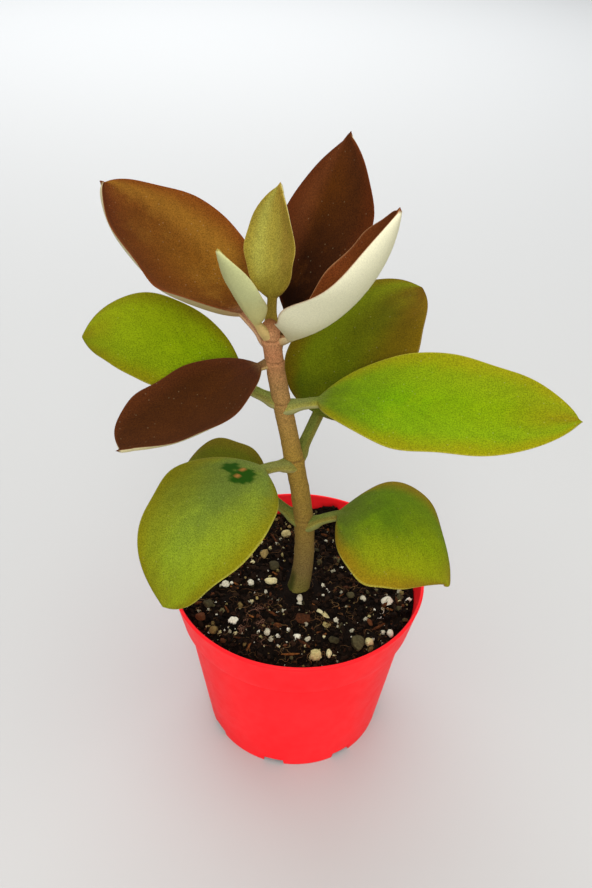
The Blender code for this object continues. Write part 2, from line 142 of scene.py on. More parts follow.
def unevenness(points, size, seed):
    """Smooth random heights from -1 to 1.  Space is cut into cubes of the given size, each
    corner gets a random height, and a point takes the eased mixture of its cube's corners."""
    cell = np.asarray(points) / size
    low = np.floor(cell)
    part = smooth_step(cell - low)
    low = low.astype(np.int64).astype(np.uint64)
    total = np.zeros(cell.shape[:-1])
    for corner in product((0, 1), repeat=3):
        at = low + np.array(corner, np.uint64)
        key = at[..., 0] * np.uint64(374761393) + at[..., 1] * np.uint64(668265263)
        key += at[..., 2] * np.uint64(2246822519) + np.uint64(seed * 40503 + 7)
        key = (key ^ (key >> np.uint64(15))) * np.uint64(2654435761)
        key = (key ^ (key >> np.uint64(13))) * np.uint64(1274126177)
        height = ((key >> np.uint64(20)) & np.uint64(0xFFFF)).astype(float) / 32767.5 - 1.0
        total += height * np.prod(np.where(corner, part, 1.0 - part), axis=-1)
    return total


def make_mesh(name, points, quads, triangles, marks, smooth=True):
    """A mesh object from arrays of corners, turned so that its faces point outwards."""
    halves = np.concatenate([quads[:, [0, 1, 2]], quads[:, [0, 2, 3]], triangles])
    a, b, c = (points[halves[:, k]] for k in range(3))
    if np.einsum("ij,ij->", a, np.cross(b, c)) < 0:  # six times the closed volume
        quads, triangles = quads[:, ::-1], triangles[:, ::-1]
    mesh = bpy.data.meshes.new(name)
    mesh.vertices.add(len(points))
    mesh.vertices.foreach_set("co", points.astype(np.float32).ravel())
    mesh.loops.add(quads.size + triangles.size)
    mesh.loops.foreach_set("vertex_index", np.concatenate([quads.ravel(), triangles.ravel()]))
    mesh.polygons.add(len(quads) + len(triangles))
    counts = np.concatenate([np.full(len(quads), 4), np.full(len(triangles), 3)])
    mesh.polygons.foreach_set("loop_start", np.concatenate([[0], np.cumsum(counts)[:-1]]))
    mesh.polygons.foreach_set("use_smooth", np.full(len(counts), smooth))
    for key, value in marks.items():
        mark = mesh.attributes.new(key, "FLOAT", "POINT")
        mark.data.foreach_set("value", value.astype(np.float32).ravel())
    mesh.update(calc_edges=True)
    mesh.validate()
    item = bpy.data.objects.new(name, mesh)
    bpy.context.scene.collection.objects.link(item)
    return item


def skin(name, rings, first, last, marks=None, smooth=True):
    """Closed solids, each a row of rings whose ends gather in a point.

    rings is (..., rows, sides, 3); first and last are (..., 3).  A mark holds one number
    for each ring point, or one for each solid, and goes into the mesh as an attribute.
    """
    rows, sides = rings.shape[-3:-1]
    rings = rings.reshape(-1, rows * sides, 3)
    count, size = len(rings), rows * sides + 2
    ends = [np.asarray(end, float).reshape(-1, 1, 3) for end in (first, last)]
    ends = [np.broadcast_to(end, (count, 1, 3)) for end in ends]
    points = np.concatenate([ends[0], rings, ends[1]], axis=1).reshape(-1, 3)
    row, side = np.meshgrid(np.arange(rows - 1), np.arange(sides), indexing="ij")
    after = (side + 1) % sides
    quads = 1 + np.stack(
        [row * sides + side, row * sides + after, (row + 1) * sides + after,
         (row + 1) * sides + side], axis=-1
    ).reshape(-1, 4)
    side = np.arange(sides)
    after = (side + 1) % sides
    top = 1 + (rows - 1) * sides
    triangles = np.concatenate(
        [np.stack([0 * side, 1 + after, 1 + side], axis=1),
         np.stack([0 * side + size - 1, top + side, top + after], axis=1)]
    )
    base = size * np.arange(count)[:, None, None]
    full = {}
    for key, value in (marks or {}).items():
        value = np.asarray(value, float)
        if value.size == count:
            full[key] = np.repeat(value.reshape(count, 1), size, axis=1)
            continue
        value = value.reshape(count, rows, sides)
        ends = [value[:, end].mean(axis=1)[:, None] for end in (0, -1)]
        full[key] = np.concatenate([ends[0], value.reshape(count, -1), ends[1]], axis=1)
    return make_mesh(
        name, points, (quads + base).reshape(-1, 4), (triangles + base).reshape(-1, 3), full,
        smooth,
    )


def settle(item, material, slot, *nodes):
    """Give a piece its finish, let it ride on the pot and stand for its CAD nodes."""
    item.data.materials.clear()
    item.data.materials.append(material)
    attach(item, BODY)
    if nodes:
        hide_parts(*nodes)
    return item


def around(sides):
    return 2 * math.pi * np.arange(sides) / sides


def turned_rings(radii, heights, sides):
    """A profile of radii and heights carried round the Z axis."""
    turn = around(sides)
    flat = np.stack([np.cos(turn), np.sin(turn), 0 * turn], axis=1)
    rings = radii[:, None, None] * flat
    rings[..., 2] = heights[:, None]
    return rings


def tube_rings(path, radii, sides, flatness=1.0):
    """Rings of the given radii square to a path: each ring point is the path's point plus
    the radius times (cos turn * side + sin turn * over)."""
    ahead = np.gradient(path, axis=-2)
    ahead /= np.linalg.norm(ahead, axis=-1, keepdims=True)
    pole = np.where(np.abs(ahead[..., 2:]) > 0.9, (0.0, 1.0, 0.0), (0.0, 0.0, 1.0))
    side = np.cross(ahead, pole)
    side /= np.linalg.norm(side, axis=-1, keepdims=True)
    over = np.cross(side, ahead)
    turn = around(sides)[:, None]
    spread = np.cos(turn) * side[..., None, :] + flatness * np.sin(turn) * over[..., None, :]
    return path[..., None, :] + np.asarray(radii)[..., None, None] * spread


def ball_directions(rows, sides):
    """Rings of unit directions from just above the lower pole to just below the upper one."""
    slant = math.pi * (np.arange(rows) + 1) / (rows + 1)
    turn = around(sides)
    return np.stack(
        [np.sin(slant)[:, None] * np.cos(turn), np.sin(slant)[:, None] * np.sin(turn),
         np.broadcast_to(-np.cos(slant)[:, None], (rows, sides))], axis=-1
    )


def random_turns(rng, count):
    """Rotation matrices of random quaternions, one for each of count solids."""
    w, x, y, z = rng.normal(size=(count, 4)).T
    size = np.sqrt(w * w + x * x + y * y + z * z)
    w, x, y, z = w / size, x / size, y / size, z / size
    return np.stack(
        [1 - 2 * (y * y + z * z), 2 * (x * y - z * w), 2 * (x * z + y * w),
         2 * (x * y + z * w), 1 - 2 * (x * x + z * z), 2 * (y * z - x * w),
         2 * (x * z - y * w), 2 * (y * z + x * w), 1 - 2 * (x * x + y * y)], axis=-1
    ).reshape(count, 3, 3)


# ---------------------------------------------------------------- sizes a user may change
def a_length(name, description, default):
    return FloatProperty(name=name, description=description, unit="LENGTH", default=default)


def a_number(name, description, default):
    return IntProperty(name=name, description=description, default=default, min=0)


def an_angle(name, description, degrees):
    return FloatProperty(name=name, description=description, subtype="ANGLE",
                         default=math.radians(degrees))


def a_colour(name, description, code):
    return FloatVectorProperty(name=name, description=description, subtype="COLOR", size=3,
                               default=to_linear(code))


class PotSizes(bpy.types.PropertyGroup):
    rim_radius: a_length("Rim radius", "Outside radius at the lip", POT_HIGH.y)
    height: a_length("Height", "From the table to the lip", POT_HIGH.z)
    collar_height: a_length("Collar height", "Height of the collar under the lip", 15 * MM)
    collar_flare: a_length("Collar flare", "Widening of the collar from foot to lip", 3 * MM)
    collar_step: a_length("Collar step", "How far the collar's foot stands out", 1.6 * MM)
    base_radius: a_length("Base radius", "Outside radius at the table", 33 * MM)
    wall: a_length("Wall", "Thickness of the moulded wall", 1.2 * MM)
    floor: a_length("Floor", "Thickness of the pot's floor", 1.5 * MM)
    notches: a_number("Notches", "Drain notches round the foot", 8)
    notch_bearing: FloatProperty(
        name="First notch", description="Bearing of the first notch", default=-102.5)
    colour: a_colour("Colour", "Pigment of the plastic", "#fa1921")


class SoilSizes(bpy.types.PropertyGroup):
    crumbs: a_number("Crumbs", "Peat crumbs lying on the surface", 4600)
    relief: a_length("Relief", "Height of the soil's humps", 0.55 * MM)
    edge_clearance: a_length("Edge clearance", "Between the soil and the pot", 0.3 * MM)
    dark: a_colour("Dark peat", "Moist peat in its hollows", "#0b0705")
    light: a_colour("Light peat", "Drier crumbs and fibre", "#2e1f15")


class GritSizes(bpy.types.PropertyGroup):
    perlite: a_number("Perlite", "Small white perlite crumbs", 250)
    pumice: a_number("Pumice", "Small cream pumice crumbs", 120)
    stone: a_number("Stone", "Small grey and brown stones", 260)
    slivers: a_number("Bark slivers", "Thin chips of bark", 150)
    fibres: a_number("Fibres", "Loose peat fibres", 620)


class StemSizes(bpy.types.PropertyGroup):
    foot_radius: a_length("Foot radius", "Radius at the soil", 3.65 * MM)
    tip_radius: a_length("Tip radius", "Radius at the growing tip", 2.7 * MM)
    swelling: a_length("Joint swelling", "How far a leaf joint stands out", 0.3 * MM)
    bark: a_colour("Felt", "Colour of the stem's felt", "#8a6a3c")


class LeafSizes(bpy.types.PropertyGroup):
    blade_thickness: a_length("Blade", "Thickness of a full-size blade", 2.0 * MM)
    stalk_thickness: a_length("Stalk", "Thickness of a full-size stalk", 3.4 * MM)
    stalk_width: a_length("Stalk width", "Width of a full-size stalk", 4.0 * MM)
    crease: a_length("Crease", "Depth of the midrib's crease", 0.28 * MM)
    ripple: FloatProperty(
        name="Ripple", description="Share of the half-width by which a margin waves",
        default=0.035)


class StageSetup(bpy.types.PropertyGroup):
    distance: a_length("Distance", "From the camera to the point it aims at", 272.6 * MM)
    down: an_angle("Look down", "Camera's angle below the horizon", 34.87)
    bearing: an_angle("Bearing", "Camera's turn to the right of +Y", 0.707)
    roll: an_angle("Roll", "Camera's tilt about its own axis", 1.895)
    lens: FloatProperty(
        name="Lens", description="Focal length on a 36 mm sensor", subtype="DISTANCE_CAMERA",
        default=34.46)
    sheet: a_colour("Sheet", "Colour of the paper under the pot", "#b2b2b1")


PROPERTY_GROUPS = {
    "kalanchoe_pot": PotSizes,
    "kalanchoe_soil": SoilSizes,
    "kalanchoe_grit": GritSizes,
    "kalanchoe_stem": StemSizes,
    "kalanchoe_leaves": LeafSizes,
    "kalanchoe_stage": StageSetup,
}


# ---------------------------------------------------------------- pot
def moulded_polypropylene(colour):
    """Red polypropylene, injection moulded against a lightly blasted tool: an even, strong
    colour with a soft, broad shine and a very fine orange peel."""
    material, tree = new_material("moulded_polypropylene_red")
    place = add(tree, "TexCoord").outputs["Object"]
    cloud = add(tree, "TexNoise", {"Vector": place, "Scale": 45.0, "Detail": 3.0})  # 22 mm
    peel = add(tree, "TexNoise", {"Vector": place, "Scale": 1600.0, "Detail": 2.0})  # 0.6 mm
    scuff = add(tree, "TexNoise", {"Vector": place, "Scale": 260.0, "Detail": 6.0})  # 4 mm
    deep = tuple(c * 0.93 for c in colour)
    pale = tuple(min(1.0, c + 0.006) for c in colour)
    tone = add(tree, "ValToRGB", {"Fac": cloud.outputs["Fac"]},
               stops=[(0.30, deep), (0.70, pale)])
    shine = add(tree, "MapRange", {"Value": scuff.outputs["Fac"], "From Min": 0.3,
                                   "From Max": 0.7, "To Min": 0.42, "To Max": 0.56})
    bump = add(tree, "Bump", {"Height": peel.outputs["Fac"], "Strength": 0.12,
                              "Distance": 0.00004})
    finish_material(tree, tone.outputs["Color"], shine.outputs["Result"],
                    bump.outputs["Normal"], IOR=1.49, Specular_IOR_Level=0.10)
    return material


def collar_radius(pot, z):
    """Outside radius of the collar's cone at a height."""
    foot = pot.height - pot.collar_height
    foot_radius = pot.rim_radius - pot.collar_flare
    return foot_radius + pot.collar_flare * (z - foot) / pot.collar_height


def wall_radius(pot, z):
    """Outside radius of the wall's cone at a height below the collar."""
    foot = pot.height - pot.collar_height
    top = pot.rim_radius - pot.collar_flare - pot.collar_step
    return pot.base_radius + (top - pot.base_radius) * z / foot


def pot_inner_radius(pot, z):
    """Radius of the pot's inside at a height: the collar's cone above its foot, and the
    wall's cone below it, each a wall's thickness in."""
    in_collar = z >= pot.height - pot.collar_height + pot.wall
    return (collar_radius if in_collar else wall_radius)(pot, z) - pot.wall


def pot_profile(pot):
    """Radii and heights from the middle of the floor, up the inside, over the round lip and
    down the outside to the middle of the base, with every corner rounded by a few points."""
    foot = pot.height - pot.collar_height
    foot_radius = pot.rim_radius - pot.collar_flare
    top = foot_radius - pot.collar_step
    ledge = foot + pot.wall
    half = pot.wall / 2

    def inside(z):
        return pot_inner_radius(pot, z)

    def corner(radius, height, size, rise):
        """A quarter circle: outwards and up with rise, else inwards and down."""
        slants = np.radians([0, 22.5, 45, 67.5, 90])
        across, up = (np.sin, np.cos) if rise else (np.cos, np.sin)
        return list(zip(radius - size + size * across(slants),
                        height + size - size * up(slants), strict=True))

    inner, lower, round_foot = 0.5 * MM, 0.4 * MM, 0.3 * MM  # radii of the rounded corners
    points = [(r, pot.floor) for r in np.linspace(4 * MM, inside(pot.floor) - 2 * inner, 9)]
    points += corner(inside(pot.floor + inner), pot.floor, inner, True)
    points += [(inside(z), z) for z in np.linspace(3 * MM, ledge - 0.4 * MM, 22)]
    points += [(inside(ledge - MM) + 0.25 * MM, ledge - 0.12 * MM),
               (inside(ledge) - 0.3 * MM, ledge - 0.05 * MM),
               (inside(ledge), ledge + 0.15 * MM)]
    points += [(inside(z), z) for z in np.linspace(ledge + 0.6 * MM, pot.height - 1.6 * MM, 8)]
    points += [(pot.rim_radius - half + half * math.cos(a),
                pot.height - half + half * math.sin(a))
               for a in math.pi * (1 - np.arange(9) / 8)]
    points += [(collar_radius(pot, z), z)
               for z in np.linspace(pot.height - 1.6 * MM, foot + 0.8 * MM, 8)]
    points += corner(foot_radius, foot, lower, False)
    points += [(top + 0.25 * MM, foot), (top + 0.06 * MM, foot - 0.05 * MM),
               (wall_radius(pot, foot - 0.3 * MM), foot - 0.3 * MM)]
    points += [(wall_radius(pot, z), z) for z in np.linspace(foot - 1.2 * MM, 0.9 * MM, 24)]
    points += corner(pot.base_radius, 0.0, round_foot, False)
    points += [(r, 0.0) for r in np.linspace(pot.base_radius - 2 * MM, 4 * MM, 7)]
    return np.array(points).T


def notch_blocks(pot):
    """Blocks standing across the pot's lower corner, one for each drain notch."""
    reach, half, high, draft = 5 * MM, 4 * MM, 2.6 * MM, 0.9
    corners = np.array(list(product((-reach, reach), (-half, half), (-high, high))))
    corners[:, 1] *= np.where(corners[:, 2] > 0, draft, 1.0)
    faces = np.array([(0, 1, 3, 2), (4, 6, 7, 5), (0, 4, 5, 1), (2, 3, 7, 6), (0, 2, 6, 4),
                      (1, 5, 7, 3)])
    bearings = np.radians(pot.notch_bearing) + around(pot.notches)
    cos, sin, x = np.cos(bearings), np.sin(bearings), corners[:, 0] + pot.base_radius
    points = np.stack(
        [cos[:, None] * x - sin[:, None] * corners[:, 1],
         sin[:, None] * x + cos[:, None] * corners[:, 1],
         np.broadcast_to(corners[:, 2], (pot.notches, 8))], axis=-1
    ).reshape(-1, 3)
    quads = (faces + 8 * np.arange(pot.notches)[:, None, None]).reshape(-1, 4)
    return make_mesh("notch_blocks", points, quads, np.zeros((0, 3), int), {}, smooth=False)


def make_pot(pot):
    radii, heights = pot_profile(pot)
    rings = turned_rings(radii, heights, 240)
    item = skin("nursery_pot", rings, (0, 0, pot.floor), (0, 0, 0))
    blocks = notch_blocks(pot)
    cut = item.modifiers.new("drain_notches", "BOOLEAN")
    cut.operation, cut.object, cut.solver = "DIFFERENCE", blocks, "EXACT"
    graph = bpy.context.evaluated_depsgraph_get()
    cut_mesh = bpy.data.meshes.new_from_object(item.evaluated_get(graph))
    item.modifiers.clear()
    item.data = cut_mesh
    cut_mesh.shade_smooth()
    cut_mesh.set_sharp_from_angle(angle=math.radians(50))
    bpy.data.objects.remove(blocks, do_unlink=True)
    settle(item, moulded_polypropylene(tuple(pot.colour)), "pot_plastic", "pot")


# ---------------------------------------------------------------- soil and what lies on it
def speckled(name, tones, rough, grain, relief, specular=0.3, drift=0.35):
    """A dull mineral or vegetable surface: its colour runs through the tones by each piece's
    own tint and by a small pattern, and its relief is a noise of the grain's size."""
    material, tree = new_material(name)
    place = add(tree, "TexCoord").outputs["Object"]
    pattern = add(tree, "TexNoise", {"Vector": place, "Scale": 1 / grain, "Detail": 5.0,
                                     "Roughness": 0.65})
    tint = add(tree, "Attribute", attribute_name="tint")
    shift = add(tree, "Math", {0: pattern.outputs["Fac"], 1: 0.5}, operation="SUBTRACT")
    share = add(tree, "Math", {0: shift.outputs[0], 1: 2 * drift, 2: tint.outputs["Fac"]},
                operation="MULTIPLY_ADD", use_clamp=True)
    stops = [(k / (len(tones) - 1), to_linear(t) if isinstance(t, str) else t)
             for k, t in enumerate(tones)]
    tone = add(tree, "ValToRGB", {"Fac": share.outputs[0]}, stops=stops)
    bump = add(tree, "Bump", {"Height": pattern.outputs["Fac"], "Strength": 0.8,
                              "Distance": relief})
    finish_material(tree, tone.outputs["Color"], rough, bump.outputs["Normal"],
                    IOR=1.5, Specular_IOR_Level=specular)
    return material


SOIL_SEED = 5
HUMPS = ((7 * MM, 1.0), (2.4 * MM, 0.75), (0.9 * MM, 0.45))  # size and share of the relief
BANK_BEARING, BANK_SPREAD, BANK_HEIGHT = 72, 12, 5.5 * MM
BANK_START, BANK_RAMP = 34 * MM, 8 * MM
MOUND_HEIGHT, MOUND_SPREAD = 0.8 * MM, 7 * MM


def soil_height(x, y, relief):
    """Height of the soil's surface: its level, humps of three sizes, a mound round the stem
    and a bank thrown up against the wall behind on the right."""
    flat = np.stack([x, y, 0 * x], axis=-1)
    humps = sum(share * unevenness(flat, size, SOIL_SEED + k)
                for k, (size, share) in enumerate(HUMPS))
    radius = np.hypot(x, y)
    beside = (np.degrees(np.arctan2(y, x)) - BANK_BEARING) / BANK_SPREAD
    bank = BANK_HEIGHT * smooth_step((radius - BANK_START) / BANK_RAMP) * np.exp(-(beside**2))
    mound = MOUND_HEIGHT * np.exp(-((radius / MOUND_SPREAD) ** 2))
    return SOIL_TOP - 0.3 * MM + relief * humps + bank + mound


def make_soil(pot, soil):
    """A closed body: bottom, side under the pot's wall and ledge, and the uneven top."""
    low, ledge = SOIL_LOW.z, pot.height - pot.collar_height + pot.wall

    def beside(z):
        return pot_inner_radius(pot, z) - soil.edge_clearance

    levels = [low, *np.linspace(6 * MM, ledge - MM, 8)]
    side = [(beside(z), z) for z in levels]
    side += [(beside(ledge), ledge + 2 * soil.edge_clearance),
             (beside(SOIL_TOP - 2 * MM), SOIL_TOP - 2 * MM)]
    bottom = [(r, low) for r in np.linspace(5 * MM, side[0][0] - 2 * MM, 4)]
    radii, heights = np.array(bottom + side).T
    sides, rows = 300, 150
    top = turned_rings(np.linspace(beside(SOIL_TOP), 0.4 * MM, rows), np.zeros(rows), sides)
    top[..., 2] = soil_height(top[..., 0], top[..., 1], soil.relief)
    centre = (0, 0, soil_height(np.zeros(1), np.zeros(1), soil.relief)[0])
    rings = np.concatenate([turned_rings(radii, heights, sides), top])
    tint = 0.28 + 0.2 * unevenness(rings, 3 * MM, SOIL_SEED + 3)
    item = skin("peat_body", rings, (0, 0, low), centre, {"tint": tint})
    peat = speckled("milled_sphagnum_peat", [tuple(soil.dark), "#170f0a", tuple(soil.light)],
                    0.95, 0.7 * MM, 0.25 * MM, specular=0.06)
    settle(item, peat, "potting_mix", "soil")
    return peat


STEM_CLEAR = 4.4 * MM  # radius kept free of crumbs


def scatter(rng, count, reach):
    """Random places on the soil, nearly even over its area, clear of the stem."""
    radius = STEM_CLEAR + (reach - STEM_CLEAR) * rng.random(count) ** 0.5
    turn = rng.random(count) * 2 * math.pi
    return radius * np.cos(turn), radius * np.sin(turn)


def crumbs(name, rng, places, sizes, stretch, lumpiness, rows, sides, sink=0.15):
    """Many small closed lumps: a ball of few faces, each point moved in or out by a random
    share, stretched, turned at random and set into the soil by a share of its size."""
    x, y, z = places
    count = len(x)
    ball = ball_directions(rows, sides)
    knock = 1 + lumpiness * (rng.random((count, rows, sides)) - 0.5)
    stretch = np.asarray(stretch) * (0.8 + 0.4 * rng.random((count, 3)))
    turns = random_turns(rng, count)
    half = sizes / 2
    body = ball * knock[..., None] * (stretch * half[:, None])[:, None, None, :]
    ends = np.array([(0, 0, -1.0), (0, 0, 1.0)]) * (stretch * half[:, None])[:, None, :]
    body = np.einsum("kij,krnj->krni", turns, body)
    ends = np.einsum("kij,kej->kei", turns, ends)
    at = np.stack([x, y, z + half * (1 - 2 * sink) * 0.6], axis=1)
    return skin(name, body + at[:, None, None], ends[:, 0] + at, ends[:, 1] + at,
                {"tint": rng.random(count)}, smooth=False)


def curled_paths(rng, x, y, z, length, curl, lift, steps):
    """Paths that start at given places and wander: the heading turns steadily plus a random
    wave, and the height is a low arch that ends in the soil."""
    count = len(x)
    share = np.linspace(0, 1, steps)
    heading = rng.random(count)[:, None] * 2 * math.pi
    heading = heading + curl[:, None] * (rng.random(count)[:, None] - 0.5) * 2 * share
    heading = heading + 0.5 * curl[:, None] * np.sin(
        share * (4 + 8 * rng.random(count)[:, None]) + 6 * rng.random(count)[:, None])
    step = length[:, None] / steps
    path_x = x[:, None] + np.cumsum(np.cos(heading) * step, axis=1)
    path_y = y[:, None] + np.cumsum(np.sin(heading) * step, axis=1)
    path_z = z[:, None] + lift[:, None] * np.sin(math.pi * share) ** 1.2
    return np.stack([path_x, path_y, path_z], axis=-1)


def loose_strands(name, rng, paths, radius, steps, sides=5):
    """Thin round strands along the paths, each thinning to two fifths at its ends."""
    taper = 1 - 0.6 * np.abs(np.linspace(-1, 1, steps)) ** 2
    rings = tube_rings(paths, radius[:, None] * taper, sides)
    return skin(name, rings, paths[:, 0], paths[:, -1], {"tint": rng.random(len(paths))})


STONE_FINISH = {"stone_4": "clay_stone", "stone_5": "tan_stone", "stone_7": "tan_stone"}
GRAIN_TURNS = {"bark_1": 35, "bark_2": 20}  # degrees; the others turn step by step


def chipped(directions, rng, chips, depth):
    """Directions of a ball cut flat: each point outside one of a few random planes is moved
    back onto it."""
    facings = rng.normal(size=(chips, 3))
    facings /= np.linalg.norm(facings, axis=1, keepdims=True)
    body = directions.copy()
    for facing in facings:
        proud = np.maximum(body @ facing - depth, 0.0)
        body -= proud[..., None] * facing
    return body


def grain_shape(node, rng, seed):
    """The rings of one loose piece about its own middle, before it is fitted to its box.
    Perlite and pumice are popcorn-like balls with pits, stones are chipped balls, and bark
    is a chipped ball with long grooves."""
    ball = ball_directions(30, 44)
    kind = node.split("_")[0]
    if kind in ("perlite", "pumice"):
        body = chipped(ball, rng, 5, 0.80)
        swell = 0.13 * unevenness(body, 0.62, seed) + 0.06 * unevenness(body, 0.26, seed + 1)
        pits = np.maximum(unevenness(body, 0.24, seed + 2) - 0.42, 0.0)
        return body * (1 + swell - 0.85 * pits)[..., None]
    if kind == "bark":
        body = chipped(ball, rng, 5, 0.75)
        grooves = unevenness(body * (0.25, 2.4, 2.4), 0.4, seed)
        return body * (1 + 0.16 * grooves + 0.08 * unevenness(body, 0.3, seed + 1))[..., None]
    body = chipped(ball, rng, 8, 0.70)
    return body * (1 + 0.05 * unevenness(body, 0.4, seed)
                   + 0.02 * unevenness(body, 0.15, seed + 1))[..., None]


def fit_to_box(rings, node):
    """Stretch and move rings so that their box is the CAD node's."""
    low, high = (np.array(corner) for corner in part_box(node))
    flat = rings.reshape(-1, 3)
    least, most = flat.min(axis=0), flat.max(axis=0)
    return low + (rings - least) / (most - least) * (high - low)


GRIT_TONES = {  # name of the finish, tones, roughness, grain and relief in mm, and drift
    "perlite": ("expanded_perlite", "#8a826a #c2bba2 #ebe6d4", 0.95, 0.5, 0.2, 0.6),
    "pumice": ("pumice_gravel", "#7d6d3e #b8a974 #e0d6a8", 0.95, 0.6, 0.22, 0.6),
    "dark_stone": ("slate_grit", "#1d190f #39331f #5a5236", 0.8, 0.9, 0.1, 0.6),
    "clay_stone": ("fired_clay_grit", "#2c170d #472715 #663c22", 0.85, 0.9, 0.1, 0.6),
    "tan_stone": ("sandstone_grit", "#4c3d22 #776238 #9a8450", 0.9, 0.8, 0.12, 0.6),
    "bark": ("pine_bark", "#22120a #4a2814 #8a5528", 0.9, 0.8, 0.2, 0.8),
    "fibre": ("peat_fibre", "#1f120a #432816 #86653e", 0.9, 0.5, 0.03, 0.3),
    "hair": ("root_hair", "#3a2014 #5f3a28 #8a6450", 0.8, 0.5, 0.02, 0.2),
}


def make_lumps(finishes):
    """The 27 loose lumps, each fitted to the box of its CAD node and bedded in the peat."""
    nodes = sorted(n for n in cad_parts
                   if n.split("_")[0] in ("perlite", "pumice", "stone", "bark"))
    for index, node in enumerate(nodes):
        kind = node.split("_")[0]
        slot = STONE_FINISH.get(node, "dark_stone") if kind == "stone" else kind
        rings = grain_shape(node, np.random.default_rng(100 + index), 200 + 9 * index)
        turn = math.radians(GRAIN_TURNS.get(node, 23 * index))
        cos, sin = math.cos(turn), math.sin(turn)
        rings = rings @ np.array([(cos, sin, 0), (-sin, cos, 0), (0, 0, 1)])
        rings = fit_to_box(rings, node)
        rings[..., 2] -= 0.5 * MM  # bedded into the peat's relief
        item = skin(f"{node}_lump", rings, rings[0].mean(axis=0), rings[-1].mean(axis=0),
                    {"tint": [0.35 + 0.5 * ((index * 0.37) % 1)]})
        settle(item, finishes[slot], slot, node)


def make_grit(pot, soil, grit, peat):
    """Lumps, then crumbs and strands strewn at random over the soil."""
    rng = np.random.default_rng(41)
    reach = pot_inner_radius(pot, SOIL_TOP) - 1.2 * MM
    finishes = {
        key: speckled(name, tones.split(), rough, grain * MM, relief * MM, 0.1, drift)
        for key, (name, tones, rough, grain, relief, drift) in GRIT_TONES.items()}
    make_lumps(finishes)

    third = grit.stone // 3
    stone = (1.2, 1.0, 0.8)
    # Name, count, least and most size in mm, stretch, lumpiness, slot, rings and sides
    for name, count, low, high, stretch, lumpiness, slot, rows, sides in (
        ("peat_crumbs", soil.crumbs, 0.4, 2.2, (1.35, 0.9, 0.65), 1.1, "potting_mix", 3, 6),
        ("perlite_crumbs", grit.perlite, 0.35, 1.9, (1.2, 0.9, 0.8), 1.0, "perlite", 4, 7),
        ("pumice_crumbs", grit.pumice, 0.4, 2.1, (1.3, 0.9, 0.75), 1.0, "pumice", 4, 7),
        ("slate_crumbs", third, 0.6, 2.8, (1.2, 1.0, 0.7), 0.5, "dark_stone", 4, 6),
        ("clay_crumbs", third, 0.5, 2.2, stone, 0.5, "clay_stone", 4, 6),
        ("tan_crumbs", third, 0.5, 2.2, stone, 0.5, "tan_stone", 4, 6),
        ("bark_slivers", grit.slivers, 1.2, 4.2, (1.5, 0.32, 0.22), 0.6, "bark", 5, 5),
    ):
        x, y = scatter(rng, count, reach)
        z = soil_height(x, y, soil.relief)
        sizes = (low + (high - low) * rng.random(count) ** 2.6) * MM
        item = crumbs(name, rng, (x, y, z), sizes, stretch, lumpiness, rows, sides)
        settle(item, finishes.get(slot, peat), slot)

    def strew(name, places, clear, length, curl, lift, radius, steps, finish, slot):
        """Strands from the places, lifted clear of the soil.  length, lift and the answer of
        radius are in mm, and radius is asked only once the paths are drawn."""
        x, y = places
        z = soil_height(x, y, soil.relief) + clear
        paths = curled_paths(rng, x, y, z, length * MM, curl + 0 * x, lift * MM, steps)
        settle(loose_strands(name, rng, paths, radius() * MM, steps), finish, slot)

    count = grit.fibres
    strew("peat_fibres", scatter(rng, count, reach - 3 * MM), 0.4 * MM,
          2 + 8 * rng.random(count) ** 2, 2.2, 0.3 + 1.0 * rng.random(count),
          lambda: 0.03 + 0.07 * rng.random(count) ** 2, 12, finishes["fibre"], "potting_mix")

    # Root hairs stand in a loose tuft left of the front, and two pale hairs lie on the right
    tuft = 30
    x = (-15.5 + 5.5 * (rng.random(tuft) - 0.5) * 2) * MM
    y = (-19 + 8 * (rng.random(tuft) - 0.5) * 2) * MM
    strew("root_hair_tuft", (x, y), 0.3 * MM, 5 + 7 * rng.random(tuft), 4,
          0.8 + 2.0 * rng.random(tuft), lambda: 0.035 + 0.045 * rng.random(tuft), 22,
          finishes["hair"], "root_wood")
    pale = speckled("pale_root_hair", ["#b9aa98", "#d8cdbd", "#efe8dc"], 0.6, 0.5 * MM,
                    0.02 * MM, drift=0.2)
    strew("pale_root_hairs", (np.array([29.0, 27.5]) * MM, np.array([-13.0, -16.0]) * MM),
          0.7 * MM, np.array([6.0, 4.0]), np.array([3.4, 2.6]), np.array([1.2, 0.8]),
          lambda: np.array([0.11, 0.08]), 22, pale, "root_wood")


def root_bark():
    """Young root: woody, pale tan and fibrous, mostly hidden in the peat."""
    material, tree = new_material("young_root_bark")
    place = add(tree, "TexCoord").outputs["Object"]
    fibre = add(tree, "TexNoise", {"Vector": place, "Scale": 900.0, "Detail": 5.0})
    tone = add(tree, "ValToRGB", {"Fac": fibre.outputs["Fac"]},
               stops=[(0.35, to_linear("#6b4a2a")), (0.65, to_linear("#a98558"))])
    bump = add(tree, "Bump", {"Height": fibre.outputs["Fac"], "Strength": 0.6,
                              "Distance": 0.0001})
    finish_material(tree, tone.outputs["Color"], 0.85, bump.outputs["Normal"], IOR=1.5,
                    Specular_IOR_Level=0.3)
    return material


def dress_roots():
    """The roots keep their CAD mesh and get a bark."""
    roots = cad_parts["roots"]
    finish = root_bark()
    if roots.material_slots:
        for slot in roots.material_slots:
            slot.material = finish
    else:
        roots.data.materials.append(finish)


